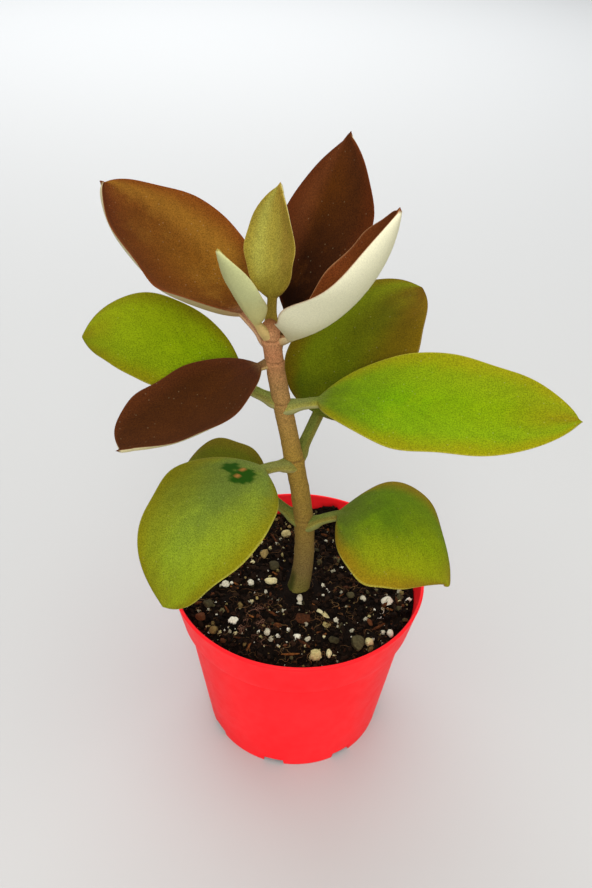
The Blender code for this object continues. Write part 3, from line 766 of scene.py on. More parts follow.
# ---------------------------------------------------------------- stem
STEM_SWAY = (0.0003, 0.0066, -0.0086, -0.0112)  # X of the centre line's control points
JOINT_SHARES = (0.295, 0.53, 0.73, 0.865, 0.9325, 0.9725)
JOINT_SPREAD = 1.4 * MM
GROOVE_ABOVE = 1.1 * MM  # from the middle of a joint up to its groove
STEM_DOME = 3.6 * MM
STEM_SUNK = 9 * MM


def stem_place(share):
    """The stem's centre line: a cubic Bezier curve sideways, and an even rise."""
    share = np.asarray(share, float)
    a, b, c, d = STEM_SWAY
    rest = 1.0 - share
    x = a * rest**3 + 3 * b * share * rest**2 + 3 * c * share**2 * rest + d * share**3
    return np.stack([x, 0 * x, SOIL_TOP + share * STEM_LENGTH], axis=-1)


def stem_radius(stem, share):
    return stem.foot_radius + (stem.tip_radius - stem.foot_radius) * np.clip(share, 0, 1)


def felted_stem(felt):
    """Woody stem under a coat of short branched hairs: tan and granular, olive at the foot,
    and pinkish copper where it is young, with thin dark rings at the joints."""
    material, tree = new_material("felted_stem")
    place = add(tree, "TexCoord").outputs["Object"]
    height, ring, flank = (add(tree, "Attribute", attribute_name=key).outputs["Fac"]
                           for key in ("height", "ring", "flank"))
    tones = ((0.0, "#6b6a2c"), (0.10, "#77683a"), (0.30, "#88702f"), (0.55, "#9f7f33"),
             (0.80, "#a27a4a"), (0.90, "#b87b54"), (0.965, "#c08a60"), (1.0, "#6e4020"))
    tone = add(tree, "ValToRGB", {"Fac": height}, stops=[(k, to_linear(t)) for k, t in tones])
    # Tufts of hair, 0.45 mm apart: drawn a little coarser than the real 0.2 mm to show
    grain = add(tree, "TexNoise", {"Vector": place, "Scale": 2200.0, "Detail": 2.0,
                                   "Roughness": 0.6}).outputs["Fac"]
    patch = add(tree, "TexNoise", {"Vector": place, "Scale": 300.0, "Detail": 3.0})
    patch = add(tree, "Math", {0: patch.outputs["Fac"], 1: 0.25}, operation="MULTIPLY")
    light = add(tree, "ValToRGB", {"Fac": grain},
                stops=[(0.34, to_linear("#8f8f8f")), (0.66, to_linear("#ffffff"))])
    coat = tone.outputs["Color"]
    for factor, colour, blend in (
        (0.75, light.outputs["Color"], "MULTIPLY"),
        (patch.outputs[0], tuple(felt), "MIX"),
        (flank, to_linear("#23300a"), "MIX"),
        (ring, to_linear("#4a2f1a"), "MIX"),
    ):
        coat = add(tree, "Mix", {MIX_FACTOR: factor, MIX_A: coat, MIX_B: colour},
                   data_type="RGBA", blend_type=blend).outputs[MIX_OUT]
    bump = add(tree, "Bump", {"Height": grain, "Strength": 0.7, "Distance": 0.00012})
    finish_material(tree, coat, 0.86, bump.outputs["Normal"], IOR=1.45,
                    Specular_IOR_Level=0.08, Sheen_Weight=0.10, Sheen_Roughness=0.5,
                    Sheen_Tint=to_linear("#c8a060"))
    return material


def make_stem(stem):
    """A round tube along the centre line.  Its radius tapers, swells at each joint, has a
    narrow groove just above the swelling, spreads at the foot and closes in a dome."""
    rows, sides = 420, 56
    dome = STEM_DOME / STEM_LENGTH
    slants = np.radians([20, 40, 60, 75, 85])  # of the dome's rings
    share = np.concatenate([np.linspace(-STEM_SUNK / STEM_LENGTH, 1 - dome, rows),
                            1 - dome * (1 - np.sin(slants))])
    closing = np.concatenate([np.ones(rows), np.cos(slants)])
    inside = np.clip(share, 0, 1)
    offset = (share[:, None] - np.array(JOINT_SHARES)) * STEM_LENGTH
    above = offset - GROOVE_ABOVE
    swell = stem.swelling * np.exp(-((offset / JOINT_SPREAD) ** 2)).max(axis=1)
    groove = 0.22 * MM * np.exp(-((above / (0.28 * MM)) ** 2)).max(axis=1)
    spread = 0.5 * MM * np.exp(-inside * STEM_LENGTH / (2.5 * MM))
    radii = (stem_radius(stem, share) + swell - groove + spread) * closing
    path = stem_place(share)
    path[share < 0, 0] = stem_place(0.0)[0]
    turn = around(sides)
    out = np.stack([np.cos(turn), np.sin(turn), 0 * turn], axis=1)
    rings = path[:, None] + radii[:, None, None] * out
    rough = 0.14 * MM * unevenness(rings, 3.2 * MM, 31)
    rough += 0.05 * MM * unevenness(rings, 0.8 * MM, 32)
    rings = path[:, None] + (radii[:, None] + rough * closing[:, None])[..., None] * out
    ring = 0.7 * np.exp(-((above / (0.35 * MM)) ** 2)).max(axis=1)
    ring = ring[:, None] * (0.6 + 0.4 * unevenness(rings, 1.5 * MM, 33))
    left = smooth_step((-np.cos(turn) - 0.35) / 0.5)  # the flank towards -X
    low = smooth_step((0.105 - share) / 0.05) * smooth_step((share + 0.02) / 0.02)
    item = skin("felted_stem", rings, rings[0].mean(axis=0), stem_place(1.0),
                {"height": np.broadcast_to(inside[:, None], rough.shape),
                 "ring": np.clip(ring, 0, 1), "flank": 0.85 * left * low[:, None]})
    settle(item, felted_stem(stem.bark), "stem_felt", "stem")


# ---------------------------------------------------------------- leaves
class Tones(NamedTuple):
    """Colours of one leaf, in the order in which its twelve hex codes stand."""

    stalk: tuple
    base: tuple  # of the upper side, next to the stalk
    heart: tuple  # of the upper side, three tenths of the way along
    outer: tuple  # of the upper side, seven tenths of the way along
    tip: tuple
    margin: tuple
    rim: tuple  # the thin line round the edge
    mottle: tuple
    left: tuple  # that the left half leans to
    right: tuple
    under: tuple
    under_base: tuple


class Leaf(NamedTuple):
    """One leaf, followed from its joint on the stem to its tip."""

    name: str
    node: float  # height of the joint, as a share of the stem above the soil
    bearing: float  # direction in which the stalk leaves the stem
    swing: float  # further turn of the direction by the tip
    rise: tuple  # climb at the joint, half way and at the tip
    stalk: float
    blade: float
    width: float
    fullness: tuple  # outline powers at the stalk end and the tip end, low is round
    roll: float  # bank about the midrib
    cup: tuple  # half-angle of the cross curve at the stalk end and the tip
    scale: float  # of the stalk's and the blade's thickness
    point: float  # length of the little hard point, as a share of the blade
    left: tuple  # left half's width, as a share of the usual, and its outline powers
    right: tuple
    reach: tuple  # how far the tip is carried to the left, up off the face and ahead
    hem: tuple  # how far the left and the right margin turn up
    slot: str
    tones: str  # the twelve of Tones
    worn: tuple = ()  # rubbed spots: share of the blade, share across, radius
    scar: tuple = ()  # healed cuts, likewise


LEAVES = (
    Leaf("leaf_1_right", 0.29, -25, 4, (43, -6, -86), 0.012, 0.0515, 0.049, (0.7, 1.2), 3,
         (-3, -36), 1.0, 0.015, (0.98, 0.7, 1.25), (1.06, 0.7, 1.15),
         (0, -1.5 * MM, 0.8 * MM), (0, 0), "leaf_moss",
         "#7c7f45 #57641f #5d7a0d #818f0a #8f761a #8a6a10 "
         "#a39a3c #88a606 #5f7a10 #94980e #8f9a5a #8b8a50"),
    Leaf("leaf_1_left", 0.30, 163, 8, (33, 15, -60), 0.012, 0.035, 0.034, (0.6, 0.5), -4,
         (7, 12), 1.0, 0.0, (1.04, 0.6, 0.5), (1.06, 0.6, 0.5),
         (0, 0, 0), (0, 0), "leaf_olive",
         "#70743a #565c10 #616008 #686408 #6d6418 #6d5c10 "
         "#8a8338 #6f730a #6a5f10 #5c640c #7f8450 #7c7a48"),
    Leaf("leaf_2_front", 0.52, 220, 9, (24, -30, -84), 0.011, 0.0575, 0.045, (0.5, 0.7), 1,
         (-14, 16), 1.0, 0.0, (1.0, 0.5, 0.7), (1.0, 0.42, 0.72),
         (0, 0, 0), (0, 0), "leaf_moss",
         "#948a50 #6c7d34 #6c7e2c #84981f #8a860e #7d7408 "
         "#a09a3c #92a42c #8d9a14 #7d7c10 #8f9a62 #8b8a58",
         worn=((0.13, 0.02, 4.0 * MM), (0.13, -0.35, 2.6 * MM)),
         scar=((0.10, -0.14, 0.9 * MM), (0.145, -0.10, 0.7 * MM))),
    Leaf("leaf_2_back", 0.54, 53, -25, (46, 48, 2), 0.014, 0.057, 0.042, (0.4, 0.7), 13,
         (12, 16), 1.0, 0.0, (0.98, 0.4, 0.7), (1.06, 0.42, 0.62),
         (0, 0, -1.4 * MM), (0, 0), "leaf_olive",
         "#7d8040 #4b5706 #586104 #555405 #644a06 #6b5406 "
         "#84703a #6b7006 #72800a #634504 #8f9458 #8b8a50"),
    Leaf("leaf_3_right", 0.725, -12, -9, (22, 4, 13), 0.009, 0.077, 0.042, (0.6, 0.67), 17,
         (14, 8), 1.0, 0.012, (0.97, 0.6, 0.67), (0.93, 0.6, 0.67),
         (0, 0, 0.6 * MM), (0, 0), "leaf_lime",
         "#8d8a58 #5f710d #6c9500 #789100 #87740a #8c8606 "
         "#a69c30 #859f02 #7f8e0a #79970a #9aa45c #9a9458"),
    Leaf("leaf_3_left", 0.735, 159, 0, (10, 16, -42), 0.011, 0.061, 0.030, (0.65, 0.65), -38,
         (12, 2), 1.0, 0.0, (0.98, 0.65, 0.65), (0.96, 0.65, 0.65),
         (0, 0, -0.3 * MM), (0, 0), "leaf_lime",
         "#8f8a56 #6c820a #7c9602 #86980a #7d6e08 #7a7206 "
         "#968c2c #94ab06 #708208 #8c9a08 #a6ac66 #98945a"),
    Leaf("leaf_4_front", 0.86, 203, 19, (-10, -26, 17), 0.003, 0.049, 0.039, (0.55, 0.55), 2.7,
         (24, 30), 0.7, 0.03, (1.06, 0.81, 1.3), (0.97, 0.73, 0.54),
         (-0.6 * MM, -1.0 * MM, 1.6 * MM), (1.0 * MM, 0), "leaf_chocolate",
         "#a08352 #4a2410 #452204 #432106 #48240a #52280e "
         "#613216 #542c0c #4a250a #3f1f06 #b9ae84 #a58f5e"),
    Leaf("leaf_4_back", 0.87, 57, -19, (61, 60, 78), 0.0125, 0.056, 0.036, (1.0, 0.9), -3,
         (14, 9), 0.8, 0.02, (0.86, 1.0, 1.0), (1.12, 1.0, 0.8),
         (-0.2 * MM, 0, 0.3 * MM), (0, 0), "leaf_chocolate",
         "#7c5a34 #120500 #2e1404 #572d07 #55290d #5a290d "
         "#6a3014 #643810 #6e3a1c #42200a #b9ae84 #a58f5e"),
    Leaf("leaf_5_front", 0.935, -30, 9, (29, 51, 87), 0.0030, 0.056, 0.055, (1.0, 0.72), 8,
         (75, 33), 0.65, 0.02, (0.61, 0.74, 0.67), (1.12, 0.95, 0.85),
         (1.2 * MM, 0.9 * MM, 0.7 * MM), (2.5 * MM, 0), "leaf_pale_felt",
         "#a5855a #66340f #733a14 #7b421a #824a2a #773d1a "
         "#a87a52 #84501f #7d4018 #6b3512 #dad6b6 #c8bf96"),
    Leaf("leaf_5_back", 0.93, 133, 38, (26, 31, 41), 0.011, 0.058, 0.041, (0.45, 0.6), -12,
         (31, 27), 0.9, 0.02, (1.3, 0.6, 0.6), (0.95, 0.55, 0.64),
         (0, 0, 1.2 * MM), (6.5 * MM, 0), "leaf_copper",
         "#b8906c #562907 #744910 #683b0e #6a3310 #6f360d "
         "#7c4018 #875f1d #5c280c #966820 #c2b890 #b09c68"),
    Leaf("leaf_6_back", 0.975, 88, -13, (72, 67, 85), 0.007, 0.033, 0.0205, (0.8, 0.85), -34,
         (24, 31), 0.7, 0.03, (1.05, 0.75, 0.8), (0.96, 0.8, 1.0),
         (0, 0, 0.3 * MM), (0, 0), "leaf_young",
         "#8a7430 #7a6a1c #a69a3c #a8983a #a07c2a #94802a "
         "#b8a04c #b0a644 #b4b452 #94742a #b8b48a #a8945e"),
    Leaf("leaf_6_front", 0.97, 226, -13, (54, 62, 68), 0.0045, 0.0285, 0.0165, (0.75, 0.8), 4,
         (30, 31), 0.65, 0.03, (1.0, 0.75, 0.8), (1.0, 0.75, 0.8),
         (0, 0, 0.3 * MM), (0, 0), "leaf_pale_felt",
         "#bfa468 #8a7a34 #98903c #a09a44 #a8904a #9a8434 "
         "#c0b070 #a8a04c #a09a44 #989040 #b9bb85 #b5a868"),
)
STALK_BLEND = 0.35  # share of the blade over which the stalk's form fades
SINK = 2.5 * MM  # length of stalk inside the stem
CLASP, CLASP_REACH = 0.42, 2.4 * MM  # extra width where the stalk clasps the stem
POINT_WIDTH, POINT_TAPER = 2.0 * MM, 1.1  # of the little hard point
HEM_START, HEM_WIDTH = 0.6, 0.45  # shares of the half-width
CREASE_WIDTH, CREASE_FADE = 0.075, 0.75  # share of the half-width, and loss by the tip
VEIN_DEPTH, VEIN_PAIRS, VEIN_SWEEP, VEIN_POWER = 0.05 * MM, 6, 0.28, 14
MARK_EDGE, MARK_WOBBLE = 0.6 * MM, 0.3  # softness and unevenness of rubbed spots and scars


def leaf_felt(leaf):
    """A leaf's coat of star-shaped hairs: a dull velvet whose fine tufts are lighter than
    the skin between them, greener where the coat is thin and copper where it is thick."""
    tones = Tones(*map(to_linear, leaf.tones.split()))
    material, tree = new_material(f"felted_{leaf.name}")
    place = add(tree, "TexCoord").outputs["Object"]
    along, across, under = (add(tree, "Attribute", attribute_name=key).outputs["Fac"]
                            for key in ("along", "across", "under"))
    cloud = add(tree, "TexNoise", {"Vector": place, "Scale": 90.0, "Detail": 5.0,
                                   "Roughness": 0.68}).outputs["Fac"]  # 11 mm
    # Tufts 0.4 mm apart: drawn coarser than the real 0.15 mm to show
    tuft = add(tree, "TexNoise", {"Vector": place, "Scale": 2500.0, "Detail": 2.0,
                                  "Roughness": 0.7}).outputs["Fac"]
    away = add(tree, "Math", {0: across}, operation="ABSOLUTE").outputs[0]
    wander = add(tree, "Math", {0: cloud, 1: 0.5}, operation="SUBTRACT").outputs[0]
    # Places along the tones and the fringe, shares of the tufts and the stalk, and the fan
    # of the side veins
    shifted, fringe, bare, plain, fan = (
        add(tree, "Math", {0: value, 1: times, 2: plus}, operation="MULTIPLY_ADD").outputs[0]
        for value, times, plus in (
            (wander, 0.30, along), (wander, 0.35, away), (under, -0.6, 0.85),
            (under, 0.5, 0.5), (away, -0.35, along)))
    # Eased shares: blotches, the left half, the flanks, the blade past its base, the ragged
    # fringe, the rim's line and the stalk, each from low to high, where it reaches most
    blotch, half, flank, ends, edge, line, stalk = (
        add(tree, "MapRange",
            {"Value": value, "From Min": low, "From Max": high, "To Max": most},
            interpolation_type="SMOOTHSTEP").outputs["Result"]
        for value, low, high, most in (
            (cloud, 0.46, 0.72, 0.38), (across, -0.25, 0.25, 1.0), (away, 0.04, 0.6, 0.6),
            (along, 0.08, 0.35, 1.0), (fringe, 0.55, 1.0, 0.85), (away, 0.965, 0.995, 0.7),
            (along, 0.07, -0.06, 1.0)))
    # The blade's colour runs down the stalk's upper side, between its pale flanks
    lean, stalk = (add(tree, "Math", {0: a, 1: b}, operation="MULTIPLY").outputs[0]
                   for a, b in ((flank, ends), (stalk, plain)))
    tint = add(tree, "Mix", {MIX_FACTOR: half, MIX_A: tones.right, MIX_B: tones.left},
               data_type="RGBA").outputs[MIX_OUT]
    grid = add(tree, "CombineXYZ", {"X": fan, "Y": across})
    grid = add(tree, "VectorMath", {0: grid.outputs[0], 1: (14.0, 2.0, 1.0)},
               operation="MULTIPLY")
    streak = add(tree, "TexNoise", {"Vector": grid.outputs[0], "Scale": 1.0, "Detail": 3.0,
                                    "Roughness": 0.6}).outputs["Fac"]
    # Stray pale tufts, 0.4 mm across and 2.5 mm apart
    stray = add(tree, "TexVoronoi", {"Vector": place, "Scale": 400.0})
    stray = add(tree, "MapRange", {"Value": stray.outputs["Distance"], "From Min": 0.11,
                                   "From Max": 0.05, "To Max": 0.12})
    coat, lower, streaks, light = (
        add(tree, "ValToRGB", {"Fac": value}, stops=stops).outputs["Color"]
        for value, stops in (
            (shifted, [(0.0, tones.base), (0.30, tones.heart), (0.72, tones.outer),
                       (1.0, tones.tip)]),
            (shifted, [(0.0, tones.under_base), (0.45, tones.under)]),
            (streak, [(0.32, to_linear("#dadada")), (0.62, to_linear("#ffffff"))]),
            (tuft, [(0.34, to_linear("#b2b2b2")), (0.64, to_linear("#ffffff"))])))
    layers = [
        (blotch, tones.mottle, "MIX"),
        (lean, tint, "MIX"),
        (0.45, streaks, "MULTIPLY"),  # faint, running outwards along the side veins
        (edge, tones.margin, "MIX"),
        (line, tones.rim, "MIX"),
        (under, lower, "MIX"),
        (stalk, tones.stalk, "MIX"),
        (bare, light, "MULTIPLY"),
        (stray.outputs["Result"], to_linear("#c9b48a"), "MIX"),
    ]
    for mark, code in (("worn", "#1d4405"), ("scar", "#a06a34")) if leaf.worn else ():
        where = add(tree, "Attribute", attribute_name=mark).outputs["Fac"]
        layers.append((where, to_linear(code), "MIX"))
    for factor, colour, blend in layers:
        coat = add(tree, "Mix", {MIX_FACTOR: factor, MIX_A: coat, MIX_B: colour},
                   data_type="RGBA", blend_type=blend).outputs[MIX_OUT]
    bump = add(tree, "Bump", {"Height": tuft, "Strength": 0.5, "Distance": 0.00006})
    finish_material(tree, coat, 0.86, bump.outputs["Normal"], IOR=1.45,
                    Specular_IOR_Level=0.06, Sheen_Weight=0.06, Sheen_Roughness=0.5,
                    Sheen_Tint=tones.rim)
    return material


def outline(share, low, high):
    """Half-width of a blade along its length: share^low (1 - share)^high, peak 1."""
    peak = low / (low + high)
    share = np.clip(share, 0.0, 1.0)
    return share**low * (1 - share) ** high / (peak**low * (1 - peak) ** high)


def larger(a, b, ease):
    """The larger of two lengths, with the corner between them eased."""
    return (a + b + np.sqrt((a - b) ** 2 + ease**2)) / 2


def leaf_spine(leaf, plain):
    """Distances along a leaf from its joint, the midrib's points there and its directions
    ahead and to the level left, and the tip.

    The climb follows a parabola through the three angles of `rise`, the heading turns by
    `swing`, and the points are the running sum of the heading.
    """
    length = leaf.stalk + leaf.blade
    fine = np.linspace(-SINK, length, 400)
    share = np.clip(fine / length, 0.0, 1.0)
    first, middle, last = leaf.rise
    climb = np.radians(
        first * (1 - share) * (1 - 2 * share) + middle * 4 * share * (1 - share)
        + last * share * (2 * share - 1))
    bearing = np.radians(leaf.swing * share)
    heading = np.stack([np.cos(climb) * np.cos(bearing), np.cos(climb) * np.sin(bearing),
                        np.sin(climb)], axis=1)
    steps = (heading[1:] + heading[:-1]) / 2 * np.diff(fine)[:, None]
    line = np.concatenate([np.zeros((1, 3)), np.cumsum(steps, axis=0)])
    line -= np.stack([np.interp(0.0, fine, line[:, k]) for k in range(3)])

    spread = (1 - np.cos(np.linspace(0, math.pi, 120))) / 2
    start = 0.4 * MM if plain else -SINK
    stops = np.concatenate([np.linspace(start, leaf.stalk, 26)[:-1],
                            leaf.stalk + leaf.blade * spread[:-1]])
    at, ahead = (np.stack([np.interp(stops, fine, path[:, k]) for k in range(3)], axis=1)
                 for path in (line, heading))
    turned = np.interp(stops, fine, bearing)
    level = np.stack([-np.sin(turned), np.cos(turned), 0 * turned], axis=1)
    return stops, at, ahead, level, line[-1]


def half_widths(leaf, sizes, share, plain):
    """The left and the right half-width along a blade.  Neither is less than the stalk's at
    the start, nor less than the little hard point's at the tip."""
    half_stalk = sizes.stalk_width * leaf.scale / 2
    if plain:
        halves = [leaf.width / 2 * outline(share, *leaf.fullness)] * 2
        return [np.where(share < 0.5, larger(half, half_stalk, 0), half) for half in halves]
    point = np.clip((1 - share) / max(leaf.point * 2.4, 0.01), 0, 1)
    point = POINT_WIDTH * point**POINT_TAPER
    halves = []
    for gain, *powers in (leaf.left, leaf.right):
        half = gain * leaf.width / 2 * outline(share / (1 - leaf.point), *powers)
        if leaf.point:
            half = np.where(share > 0.6, larger(half, point, 0.15 * MM), half)
        halves.append(np.where(share < 0.5, larger(half, half_stalk, 0.5 * MM), half))
    return halves


def leaf_rings(leaf, sizes, index, plain):
    """Rings round a leaf, in a frame whose X is the stalk's direction.

    A ring is the cross section there: an ellipse bent to a circular arc of half-angle `cup`,
    rolled about the midrib.  Unless plain, its margin waves and turns up, a crease follows
    the midrib and side veins are pressed in.
    """
    stops, at, ahead, level, tip = leaf_spine(leaf, plain)
    over = np.cross(ahead, level)
    blade = (stops - leaf.stalk) / leaf.blade
    share = np.clip(blade, 0.0, 1.0)
    fade = smooth_step(share / STALK_BLEND)
    turn = around(88)
    u, v = np.cos(turn), np.sin(turn)
    left, right = half_widths(leaf, sizes, share, plain)
    clasp = CLASP * np.exp(-((np.maximum(stops, 0) / CLASP_REACH) ** 2))
    clasp = 1 + clasp * (not plain)
    thick = (sizes.stalk_thickness * (1 - fade) + sizes.blade_thickness * fade) * leaf.scale / 2
    thick = np.minimum(thick, np.minimum(left, right)) * clasp
    left_share = smooth_step((u + 0.15) / 0.3)[None]
    half = left[:, None] * left_share + right[:, None] * (1 - left_share)
    half = half * clasp[:, None]

    roll = np.radians(leaf.roll) * smooth_step(stops / (leaf.stalk + STALK_BLEND * leaf.blade))
    side = np.cos(roll)[:, None] * level + np.sin(roll)[:, None] * over
    over = np.cos(roll)[:, None] * over - np.sin(roll)[:, None] * level
    bend = np.radians(leaf.cup[0] + (leaf.cup[1] - leaf.cup[0]) * share)
    bend = np.where(np.abs(bend) < 0.001, 0.001, bend)[:, None]
    share, fade = share[:, None], fade[:, None]
    lift = thick[:, None] * v
    raised = 0.0
    if not plain:
        shift = share**2 * sum(
            far * way for far, way in zip(leaf.reach, (side, over, ahead), strict=True))
        at, tip = at + shift, tip + shift[-1]
        phase, to_left, out = 2.1 * index, u > 0, np.abs(u)
        wave = np.sin(9 * share + phase) * np.where(to_left, 1, -0.8)
        wave = wave + 0.5 * np.sin(23 * share + phase * np.where(to_left, 1.7, 2.9))
        half *= 1 + 0.5 * sizes.ripple * wave * out**2 * fade
        ripple = np.sin(14 * share + phase * np.where(to_left, 1.0, 2.3))
        raised = sizes.ripple * half * ripple * out**3 * fade
        hem = np.where(to_left, *leaf.hem) * smooth_step((out - HEM_START) / HEM_WIDTH)
        raised = raised + hem * np.sin(math.pi * share) ** 0.6
        crease = np.exp(-((u / CREASE_WIDTH) ** 2))
        crease = crease * (1 - CREASE_FADE * smooth_step(share / 0.9))
        crease = crease * np.where(v > 0, 1.0, 0.9) * (np.abs(v) > 0.3)
        veins = np.cos(math.pi * VEIN_PAIRS * (share - VEIN_SWEEP * out))
        veins = np.abs(veins) ** VEIN_POWER
        veins = veins * smooth_step(share / 0.1) * (1 - out) * out * 3
        lift = lift - sizes.crease * leaf.scale * crease - VEIN_DEPTH * veins
    angle = bend * u
    radius = half / bend
    sideways = (radius - lift) * np.sin(angle)
    upward = radius * (1 - np.cos(angle)) + lift * np.cos(angle) + raised
    rings = at[:, None] + sideways[..., None] * side[:, None]
    rings = rings + upward[..., None] * over[:, None]
    marks = {
        "along": np.broadcast_to(blade[:, None], half.shape),
        "across": np.broadcast_to(u, half.shape),
        # The hard point is one colour all round
        "under": smooth_step((0.05 - v) / 0.3) * (1 - smooth_step((share - 0.972) / 0.02)),
    }
    for key, spots in (("worn", leaf.worn), ("scar", leaf.scar)):
        for place, aside, size in spots:
            row = np.argmin(np.abs(blade - place))
            column = np.argmin(np.abs(u - aside) + (v < 0))
            near = size * (1 + MARK_WOBBLE * unevenness(rings, 1.3 * MM, 61))
            near = near - np.linalg.norm(rings - rings[row, column], axis=-1)
            marks[key] = np.maximum(marks.get(key, 0.0), smooth_step(near / MARK_EDGE + 0.5))
    return rings, tip, marks


def make_leaf(leaf, sizes, stem, index):
    """Build a leaf, place it where the formula puts its joint, and shift it by what the box
    of its plain form lacks, on the sides away from the joint, to its CAD node's box."""
    turn = math.radians(leaf.bearing)
    spin = np.array([(math.cos(turn), math.sin(turn), 0), (-math.sin(turn), math.cos(turn), 0),
                     (0, 0, 1)])
    joint = stem_place(leaf.node) + stem_radius(stem, leaf.node) * spin[0]
    plain = leaf_rings(leaf, sizes, index, True)[0] @ spin + joint
    low, high = (np.array(corner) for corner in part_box(leaf.name))
    flat = plain.reshape(-1, 3)
    outward = np.abs(high - joint) > np.abs(low - joint)
    joint = joint + np.where(outward, high - flat.max(axis=0), low - flat.min(axis=0))
    rings, tip, marks = leaf_rings(leaf, sizes, index, False)
    rings, tip = rings @ spin + joint, tip @ spin + joint
    item = skin(f"{leaf.name}_felted", rings, rings[0].mean(axis=0), tip, marks)
    settle(item, leaf_felt(leaf), leaf.slot, leaf.name)


# ---------------------------------------------------------------- stage
def paper_sweep(colour):
    """Uncoated white paper: matt, with a barely visible tooth."""
    material, tree = new_material("uncoated_paper")
    place = add(tree, "TexCoord").outputs["Object"]
    tooth = add(tree, "TexNoise", {"Vector": place, "Scale": 900.0, "Detail": 2.0})
    bump = add(tree, "Bump", {"Height": tooth.outputs["Fac"], "Strength": 0.05,
                              "Distance": 0.00002})
    finish_material(tree, tuple(colour), 0.9, bump.outputs["Normal"], Specular_IOR_Level=0.1)
    return material


LIGHTS = (  # name, place, aim, diameter, watts and colour
    ("key", (0.08, -0.30, 1.30), (0, 0, 0.08), 1.6, 12.5, "#fffaf2"),
    ("front", (0.0, -1.3, 0.75), (0, 0, 0.08), 1.0, 14.5, "#ffffff"),
    ("back", (-0.3, 1.7, 1.2), (-0.28, 1.85, 0), 2.3, 43.0, "#f8fbff"),
)
ROOM_COLOUR, ROOM_STRENGTH = "#f3f5f7", 0.59
AIM_OFFSET = Vector((-4.0 * MM, 0, 16.1 * MM))  # from the middle of the CAD box


def area_light(name, place, aim, size, power, colour):
    """A round lamp that shines towards the point it aims at."""
    data = bpy.data.lights.new(name, "AREA")
    data.shape, data.size, data.energy = "DISK", size, power
    data.color = to_linear(colour)
    item = bpy.data.objects.new(name, data)
    item.location = place
    item.rotation_euler = (Vector(aim) - Vector(place)).to_track_quat("-Z", "Y").to_euler()
    bpy.context.scene.collection.objects.link(item)


def make_stage(setup):
    """Paper floor, soft lights, and the camera aimed beside the middle of the CAD box."""
    sheet_radius, under = 3.0, -1 * MM
    rings = turned_rings(np.full(2, sheet_radius), np.array([under, 0.0]), 96)
    floor = skin("paper_floor", rings, (0, 0, under), (0, 0, 0), smooth=False)
    floor.data.materials.append(paper_sweep(setup.sheet))

    for lamp in LIGHTS:
        area_light(*lamp)
    world = bpy.data.worlds.new("soft_room")
    world.use_nodes = True
    sky = world.node_tree.nodes["Background"]
    sky.inputs["Color"].default_value = (*to_linear(ROOM_COLOUR), 1.0)
    sky.inputs["Strength"].default_value = ROOM_STRENGTH
    bpy.context.scene.world = world
    bpy.context.scene.view_settings.view_transform = "Standard"

    ahead = Vector((math.sin(setup.bearing) * math.cos(setup.down),
                    math.cos(setup.bearing) * math.cos(setup.down), -math.sin(setup.down)))
    level = Vector((math.cos(setup.bearing), -math.sin(setup.bearing), 0))
    upright = level.cross(ahead)
    right = math.cos(setup.roll) * level + math.sin(setup.roll) * upright
    above = right.cross(ahead)
    aim = (CAD_LOW + CAD_HIGH) / 2 + AIM_OFFSET
    data = bpy.data.cameras.new("camera")
    data.lens, data.sensor_width, data.sensor_fit = setup.lens, 36.0, "AUTO"
    data.clip_start, data.clip_end = 0.01, 20.0
    camera = bpy.data.objects.new("camera", data)
    turn = Matrix((right, above, -ahead)).transposed()
    camera.matrix_world = Matrix.Translation(aim - ahead * setup.distance) @ turn.to_4x4()
    bpy.context.scene.collection.objects.link(camera)
    bpy.context.scene.camera = camera


# ---------------------------------------------------------------- operators and panel
class KALANCHOE_OT_pot(bpy.types.Operator):
    """Turn the thin red nursery pot and cut its drain notches"""

    bl_idname = "kalanchoe.pot"
    bl_label = "Nursery pot"

    def execute(self, context):
        make_pot(context.scene.kalanchoe_pot)
        return {"FINISHED"}


class KALANCHOE_OT_soil(bpy.types.Operator):
    """Fill the pot with peat, dress the roots, and strew grit, crumbs and fibres on top"""

    bl_idname = "kalanchoe.soil"
    bl_label = "Soil, roots and grit"

    def execute(self, context):
        scene = context.scene
        peat = make_soil(scene.kalanchoe_pot, scene.kalanchoe_soil)
        make_grit(scene.kalanchoe_pot, scene.kalanchoe_soil, scene.kalanchoe_grit, peat)
        dress_roots()
        return {"FINISHED"}


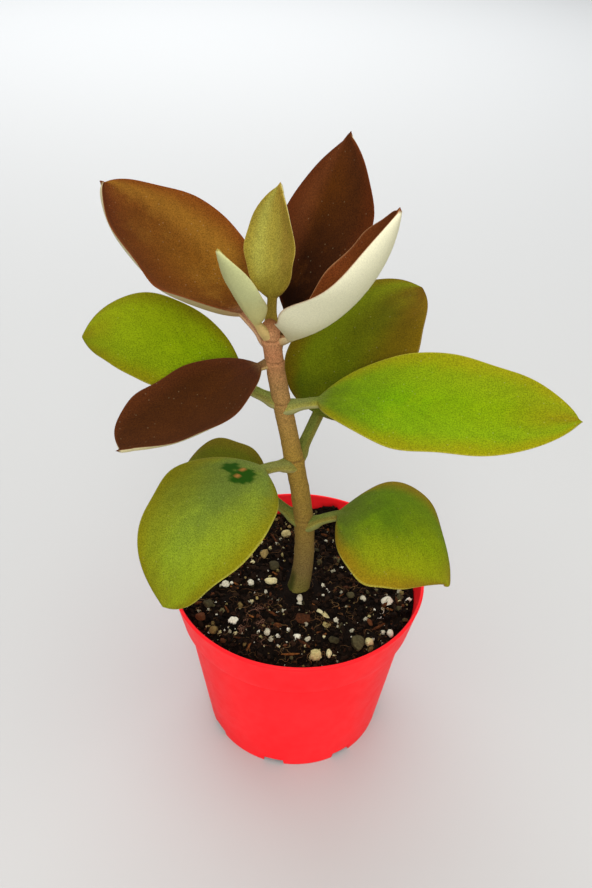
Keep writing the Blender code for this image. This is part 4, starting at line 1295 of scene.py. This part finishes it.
class KALANCHOE_OT_stem(bpy.types.Operator):
    """Raise the felted stem with its joints"""

    bl_idname = "kalanchoe.stem"
    bl_label = "Stem"

    def execute(self, context):
        make_stem(context.scene.kalanchoe_stem)
        return {"FINISHED"}


class KALANCHOE_OT_leaves(bpy.types.Operator):
    """Grow the twelve felted leaves in their crossed pairs"""

    bl_idname = "kalanchoe.leaves"
    bl_label = "Leaves"

    def execute(self, context):
        scene = context.scene
        for index, leaf in enumerate(LEAVES):
            make_leaf(leaf, scene.kalanchoe_leaves, scene.kalanchoe_stem, index)
        return {"FINISHED"}


class KALANCHOE_OT_stage(bpy.types.Operator):
    """Lay the paper floor and set the lights and the camera"""

    bl_idname = "kalanchoe.stage"
    bl_label = "Stage"

    def execute(self, context):
        make_stage(context.scene.kalanchoe_stage)
        return {"FINISHED"}


OPERATORS = (
    KALANCHOE_OT_pot, KALANCHOE_OT_soil, KALANCHOE_OT_stem, KALANCHOE_OT_leaves,
    KALANCHOE_OT_stage,
)


class KALANCHOE_PT_panel(bpy.types.Panel):
    """Lists the pieces of the potted kalanchoe"""

    bl_label = "Potted kalanchoe"
    bl_space_type = "VIEW_3D"
    bl_region_type = "UI"
    bl_category = "Kalanchoe"

    def draw(self, context):
        for operator in OPERATORS:
            self.layout.operator(operator.bl_idname)
        for key, group in PROPERTY_GROUPS.items():
            box = self.layout.box()
            for name in group.__annotations__:
                box.prop(getattr(context.scene, key), name)


def register():
    for group in PROPERTY_GROUPS.values():
        bpy.utils.register_class(group)
    for key, group in PROPERTY_GROUPS.items():
        setattr(bpy.types.Scene, key, PointerProperty(type=group))
    for item in (*OPERATORS, KALANCHOE_PT_panel):
        bpy.utils.register_class(item)


def unregister():
    for item in (KALANCHOE_PT_panel, *reversed(OPERATORS)):
        bpy.utils.unregister_class(item)
    for key, group in PROPERTY_GROUPS.items():
        delattr(bpy.types.Scene, key)
        bpy.utils.unregister_class(group)


def main():
    """Register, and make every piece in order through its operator."""
    register()
    bpy.ops.kalanchoe.pot()
    bpy.ops.kalanchoe.soil()
    bpy.ops.kalanchoe.stem()
    bpy.ops.kalanchoe.leaves()
    bpy.ops.kalanchoe.stage()


if __name__ == "__main__":
    main()
